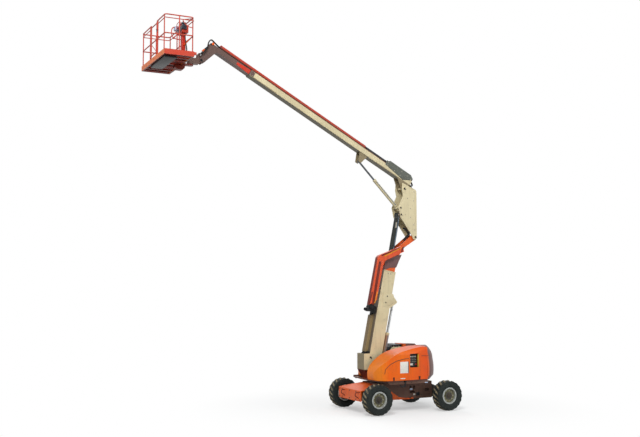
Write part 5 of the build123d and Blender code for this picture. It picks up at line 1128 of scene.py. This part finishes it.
class BOOMLIFT_OT_nose_trim(bpy.types.Operator):
    """Adds pins, clamps and the rotator's fittings at the main boom's tip"""
    bl_idname = "boomlift.nose_trim"
    bl_label = "Nose and rotator trim"

    def execute(self, context):
        for side in (-1, 1):
            hand = HAND[side]
            pin_cap(f"level_pin_cap_{hand}", (-6.490, side * 0.1165, 10.330), side, 0.036, "platform_support")
            foot = on_main(7.540, 0.350, side * 0.1065)
            fit(f"level_foot_cap_{hand}", "main_fly", "black_enamel",
                [bar(foot, foot + Vector((0, side * 0.012, 0)), 0.030, 24, 0.2)])
            ribs = [block(on_main(7.47, 0.20, side * 0.1075), (0.018, 0.005, 0.190), 0.002, MAIN_TILT),
                    block(on_main(7.58, 0.11, side * 0.1075), (0.018, 0.005, 0.150), 0.002, MAIN_TILT)]
            fit(f"nose_ribs_{hand}", "main_fly", "brown_enamel", ribs)
        cap = [bar((-6.136, -0.112, 10.852), (-6.136, -0.128, 10.852), 0.040, 28, 0.2)]
        fit("level_cap", "main_fly", "orange_enamel", cap)
        drum = [bar((-6.800, 0, z), (-6.800, 0, z + 0.016), 0.0900, 36, 0.05)
                for z in (10.196, 10.286, 10.378)]
        fit("rotator_bands", "platform_support", "brown_enamel", drum)
        bolts = ring((-6.800, 0, 10.400), 0.062, 8, (0, 0, 1))
        bolt_on("rotator_bolts", "platform_support", "zinc_plate", 0.018, bolts)
        motor = [bar((-6.800, 0, 10.399), (-6.800, 0, 10.424), 0.034, 24, 0.2)]
        fit("rotator_motor", "platform_support", "black_enamel", motor)
        clamp = [block(on_main(7.235, 0.462, -0.0430), (0.050, 0.090, 0.072), 0.006, MAIN_TILT)]
        fit("hose_clamp", "main_fly", "black_enamel", clamp)
        return {"FINISHED"}


class BOOMLIFT_OT_basket_trim(bpy.types.Operator):
    """Adds the basket's second rail, braces, floor plate, latch and box with its hoop"""
    bl_idname = "boomlift.basket_trim"
    bl_label = "Basket trim"

    def execute(self, context):
        out_x, in_x, end_y, rail_z = -7.8735, -7.0665, 1.1285, 11.135
        # The second rail under the top one, round three sides.
        second = [pipe([(out_x, -0.395, rail_z), (out_x, -1.06, rail_z), (out_x, -end_y, rail_z),
                        (out_x + 0.07, -end_y, rail_z), (in_x - 0.07, -end_y, rail_z), (in_x, -end_y, rail_z),
                        (in_x, -1.06, rail_z), (in_x, -0.38, rail_z)], 0.0125, 2),
                  pipe([(out_x, 0.265, rail_z), (out_x, end_y, rail_z), (in_x, end_y, rail_z),
                        (in_x, 0.38, rail_z)], 0.0125, 2)]
        posts = [bar((out_x, y, 10.205), (out_x, y, 11.22), 0.015, 14) for y in (-0.44, 0.31)]
        fit("basket_second_rail", "platform", "basket_enamel", second + posts)
        feet = [block((x, y, 10.206), (0.070, 0.070, 0.010)) for x in (out_x + 0.02, in_x - 0.02)
                for y in (-1.04, 1.04)]
        fit("post_feet", "platform", "basket_enamel", feet)
        tread = block((-7.532, 0, 10.2045), (0.60, 2.17, 0.003), 0.001)
        fit("floor_plate", "platform", "tread_plate", [tread])
        latch = [block((out_x - 0.004, -0.372, 10.95), (0.034, 0.050, 0.070), 0.006),
                 bar((out_x - 0.018, -0.360, 10.99), (out_x - 0.018, -0.300, 10.99), 0.007, 12)]
        fit("gate_latch", "platform", "black_enamel", latch)
        bow = [bar((-7.8735, -0.325, 10.36), (-7.8735, 0.19, 10.68), 0.010, 12)]
        fit("gate_brace", "gate", "basket_enamel", bow)
        # Box sections under the floor.
        under = [block((-7.47, -1.0 + 0.25 * k, 10.140), (0.70, 0.040, 0.028), 0.004) for k in range(9)
                 if k != 4]
        fit("floor_slats", "platform", "dark_red_enamel", under)
        case = [block((-7.66, -0.30, 10.095), (0.34, 1.40, 0.060), 0.010)]
        fit("under_box", "platform", "track_nylon", case)
        # A supply box on the inner rail, with a hoop over it.
        body = block((-7.274, -0.220, 11.104), (0.123, 0.150, 0.097), 0.012, steps=3)
        lid = block((-7.274, -0.220, 11.158), (0.133, 0.160, 0.016), 0.005)
        fit("supply_box", "platform", "box_polyester", [body, lid])
        hoop = [pipe([(-7.180, -0.300, 10.800), (-7.392, -0.220, 10.812), (-7.423, -0.220, 11.023),
                      (-7.400, -0.220, 11.136), (-7.299, -0.220, 11.178), (-7.180, -0.300, 11.178)], 0.014),
                bar((-7.367, -0.220, 10.815), (-7.188, -0.300, 11.053), 0.012, 14),
                pipe([(in_x, -1.05, 11.220), (-7.250, -1.05, 11.170), (-7.369, -1.05, 11.159),
                      (-7.300, -1.05, 11.060), (-7.188, -1.05, 10.960), (in_x, -1.05, 10.960)], 0.012)]
        fit("box_hoop", "platform", "basket_enamel", hoop)
        return {"FINISHED"}


class BOOMLIFT_OT_console(bpy.types.Operator):
    """Adds the platform console's face, levers, guard and cable"""
    bl_idname = "boomlift.console"
    bl_label = "Platform console"

    def execute(self, context):
        x, y = -7.1797, -0.52
        face = block((x - 0.020, y, 11.128), (0.130, 0.380, 0.012), 0.004)
        front = block((x - 0.097, y, 11.020), (0.008, 0.370, 0.150))
        fit("console_panel", "platform", "console_face", [face, front])
        sticks, knobs = [], []
        for dy in (-0.13, 0.13):
            sticks.append(bar((x - 0.03, y + dy, 11.132), (x - 0.03, y + dy, 11.156), 0.026, 20, 0.5))
            sticks.append(bar((x - 0.03, y + dy, 11.150), (x - 0.035, y + dy, 11.214), 0.008, 12))
            knobs.append(bar((x - 0.034, y + dy, 11.206), (x - 0.036, y + dy, 11.240), 0.016, 16, 0.4))
        for k in range(6):
            sticks.append(bar((x - 0.062 + 0.03 * (k % 2), y - 0.07 + 0.028 * k, 11.132),
                              (x - 0.066 + 0.03 * (k % 2), y - 0.07 + 0.028 * k, 11.158), 0.004, 8))
        fit("console_sticks", "platform", "hose_rubber", sticks)
        knobs.append(bar((x - 0.04, y, 11.132), (x - 0.04, y, 11.160), 0.022, 24, 0.3))
        fit("console_knobs", "platform", "red_knob", knobs)
        guard = [pipe([(x - 0.11, y - 0.20, 11.08), (x - 0.13, y - 0.20, 11.20), (x - 0.13, y, 11.225),
                       (x - 0.13, y + 0.20, 11.20), (x - 0.11, y + 0.20, 11.08)], 0.009)]
        fit("console_guard", "platform", "red_enamel", guard)
        foot = [block((x, y, 10.245), (0.120, 0.220, 0.080), 0.008),
                block((x, y, 10.62), (0.082, 0.176, 0.46), 0.008)]
        fit("console_foot", "platform", "red_enamel", foot)
        head = [block((x - 0.034, y - 0.205, 11.050), (0.150, 0.090, 0.140), 0.014),
                block((x - 0.020, y - 0.020, 11.175), (0.130, 0.300, 0.050), 0.012)]
        fit("console_head", "platform", "console_face", head)
        arm = [bar((x, y - 0.10, 10.560), (-7.075, -0.900, 10.700), 0.016, 16)]
        fit("console_arm", "platform", "orange_enamel", arm)
        cable = [pipe([(x, y - 0.16, 10.905), (x + 0.01, y - 0.18, 10.78), (x + 0.03, y - 0.20, 10.60),
                       (x + 0.06, y - 0.22, 10.42), (x + 0.05, y - 0.18, 10.30),
                       (x + 0.055, y - 0.10, 10.222)], 0.012),
                 pipe([(x + 0.02, y - 0.13, 10.905), (x + 0.03, y - 0.14, 10.74), (x + 0.05, y - 0.17, 10.50),
                       (x + 0.07, y - 0.15, 10.30), (x + 0.065, y - 0.06, 10.222)], 0.010)]
        fit("console_cable", "platform", "hose_rubber", cable)
        return {"FINISHED"}


class BOOMLIFT_OT_studio(bpy.types.Operator):
    """Sets a pale floor, a white surround and soft lamps"""
    bl_idname = "boomlift.studio"
    bl_label = "Studio"

    def execute(self, context):
        scene = context.scene
        scene.view_settings.view_transform = "Standard"
        deselect()
        bpy.ops.mesh.primitive_plane_add(size=FLOOR_SIZE, location=(0, 0, 0))
        floor = bpy.context.object
        floor.name = "studio_floor"
        material = bpy.data.materials.new("studio_paper")
        material.use_nodes = True
        tree = material.node_tree
        tree.nodes.remove(tree.nodes["Principled BSDF"])
        diffuse = add_node(tree, "ShaderNodeBsdfDiffuse", {"Color": (0.62, 0.62, 0.61, 1)})
        glow = add_node(tree, "ShaderNodeEmission", {"Color": (1, 1, 1, 1), "Strength": 0.43})
        both = add_node(tree, "ShaderNodeAddShader", {0: diffuse.outputs[0], 1: glow.outputs[0]})
        # The paper fades to white away from the machine.
        place = add_node(tree, "ShaderNodeTexCoord")
        reach = add_node(tree, "ShaderNodeVectorMath", {0: place.outputs["Object"]}, operation="LENGTH")
        fade = add_node(tree, "ShaderNodeMapRange",
                        {"Value": reach.outputs["Value"], "From Min": 2.6, "From Max": 7.0},
                        interpolation_type="SMOOTHSTEP")
        white = add_node(tree, "ShaderNodeEmission", {"Color": (1, 1, 1, 1), "Strength": 1.0})
        paper = add_node(tree, "ShaderNodeMixShader",
                         {0: fade.outputs[0], 1: both.outputs[0], 2: white.outputs[0]})
        mix = add_node(tree, "ShaderNodeMixShader",
                       {0: seen_directly(tree), 1: diffuse.outputs[0], 2: paper.outputs[0]})
        tree.links.new(mix.outputs[0], tree.nodes["Material Output"].inputs["Surface"])
        floor.data.materials.append(material)
        world = scene.world or bpy.data.worlds.new("surround")
        scene.world = world
        world.use_nodes = True
        tree = world.node_tree
        tree.nodes.clear()
        soft = add_node(tree, "ShaderNodeBackground", {"Color": (0.93, 0.96, 1.0, 1), "Strength": 0.40})
        white = add_node(tree, "ShaderNodeBackground", {"Color": (1, 1, 1, 1), "Strength": 1.0})
        mix = add_node(tree, "ShaderNodeMixShader",
                       {0: seen_directly(tree), 1: soft.outputs[0], 2: white.outputs[0]})
        add_node(tree, "ShaderNodeOutputWorld", {"Surface": mix.outputs[0]})
        for name, at, size, power in LAMPS:
            lamp = bpy.data.lights.new(name, "AREA")
            lamp.shape, lamp.size, lamp.energy = "DISK", size, power
            stand = bpy.data.objects.new(name, lamp)
            stand.location = at
            stand.rotation_euler = (LAMPS_AIM - Vector(at)).to_track_quat("-Z", "Y").to_euler()
            scene.collection.objects.link(stand)
        return {"FINISHED"}


STEPS = (BOOMLIFT_OT_camera, BOOMLIFT_OT_cords, BOOMLIFT_OT_coats, BOOMLIFT_OT_tyres, BOOMLIFT_OT_wheel_trim,
         BOOMLIFT_OT_hood_trim, BOOMLIFT_OT_ground_panel, BOOMLIFT_OT_chassis_trim, BOOMLIFT_OT_turret_trim,
         BOOMLIFT_OT_guide_trim, BOOMLIFT_OT_upright_trim, BOOMLIFT_OT_cylinder_trim, BOOMLIFT_OT_boom_trim,
         BOOMLIFT_OT_nose_trim, BOOMLIFT_OT_basket_trim, BOOMLIFT_OT_console, BOOMLIFT_OT_studio)


class BOOMLIFT_PT_panel(bpy.types.Panel):
    """Lists the machine's paints, sizes and steps"""
    bl_idname = "BOOMLIFT_PT_panel"
    bl_label = "Boom lift"
    bl_space_type = "VIEW_3D"
    bl_region_type = "UI"
    bl_category = "Boom lift"

    def draw(self, context):
        column = self.layout.column()
        for group in (context.scene.boomlift_paint, context.scene.boomlift_sizes):
            for name in group.bl_rna.properties.keys():
                if name not in ("rna_type", "name"):
                    column.prop(group, name)
        for step in STEPS:
            column.operator(step.bl_idname)


CLASSES = (BoomLiftPaint, BoomLiftSizes, *STEPS, BOOMLIFT_PT_panel)


def register():
    for item in CLASSES:
        bpy.utils.register_class(item)
    bpy.types.Scene.boomlift_paint = PointerProperty(type=BoomLiftPaint)
    bpy.types.Scene.boomlift_sizes = PointerProperty(type=BoomLiftSizes)


def unregister():
    del bpy.types.Scene.boomlift_sizes
    del bpy.types.Scene.boomlift_paint
    for item in reversed(CLASSES):
        bpy.utils.unregister_class(item)


def main():
    register()
    for step in STEPS:
        getattr(bpy.ops.boomlift, step.bl_idname.split(".")[1])()


if __name__ == "__main__":
    main()
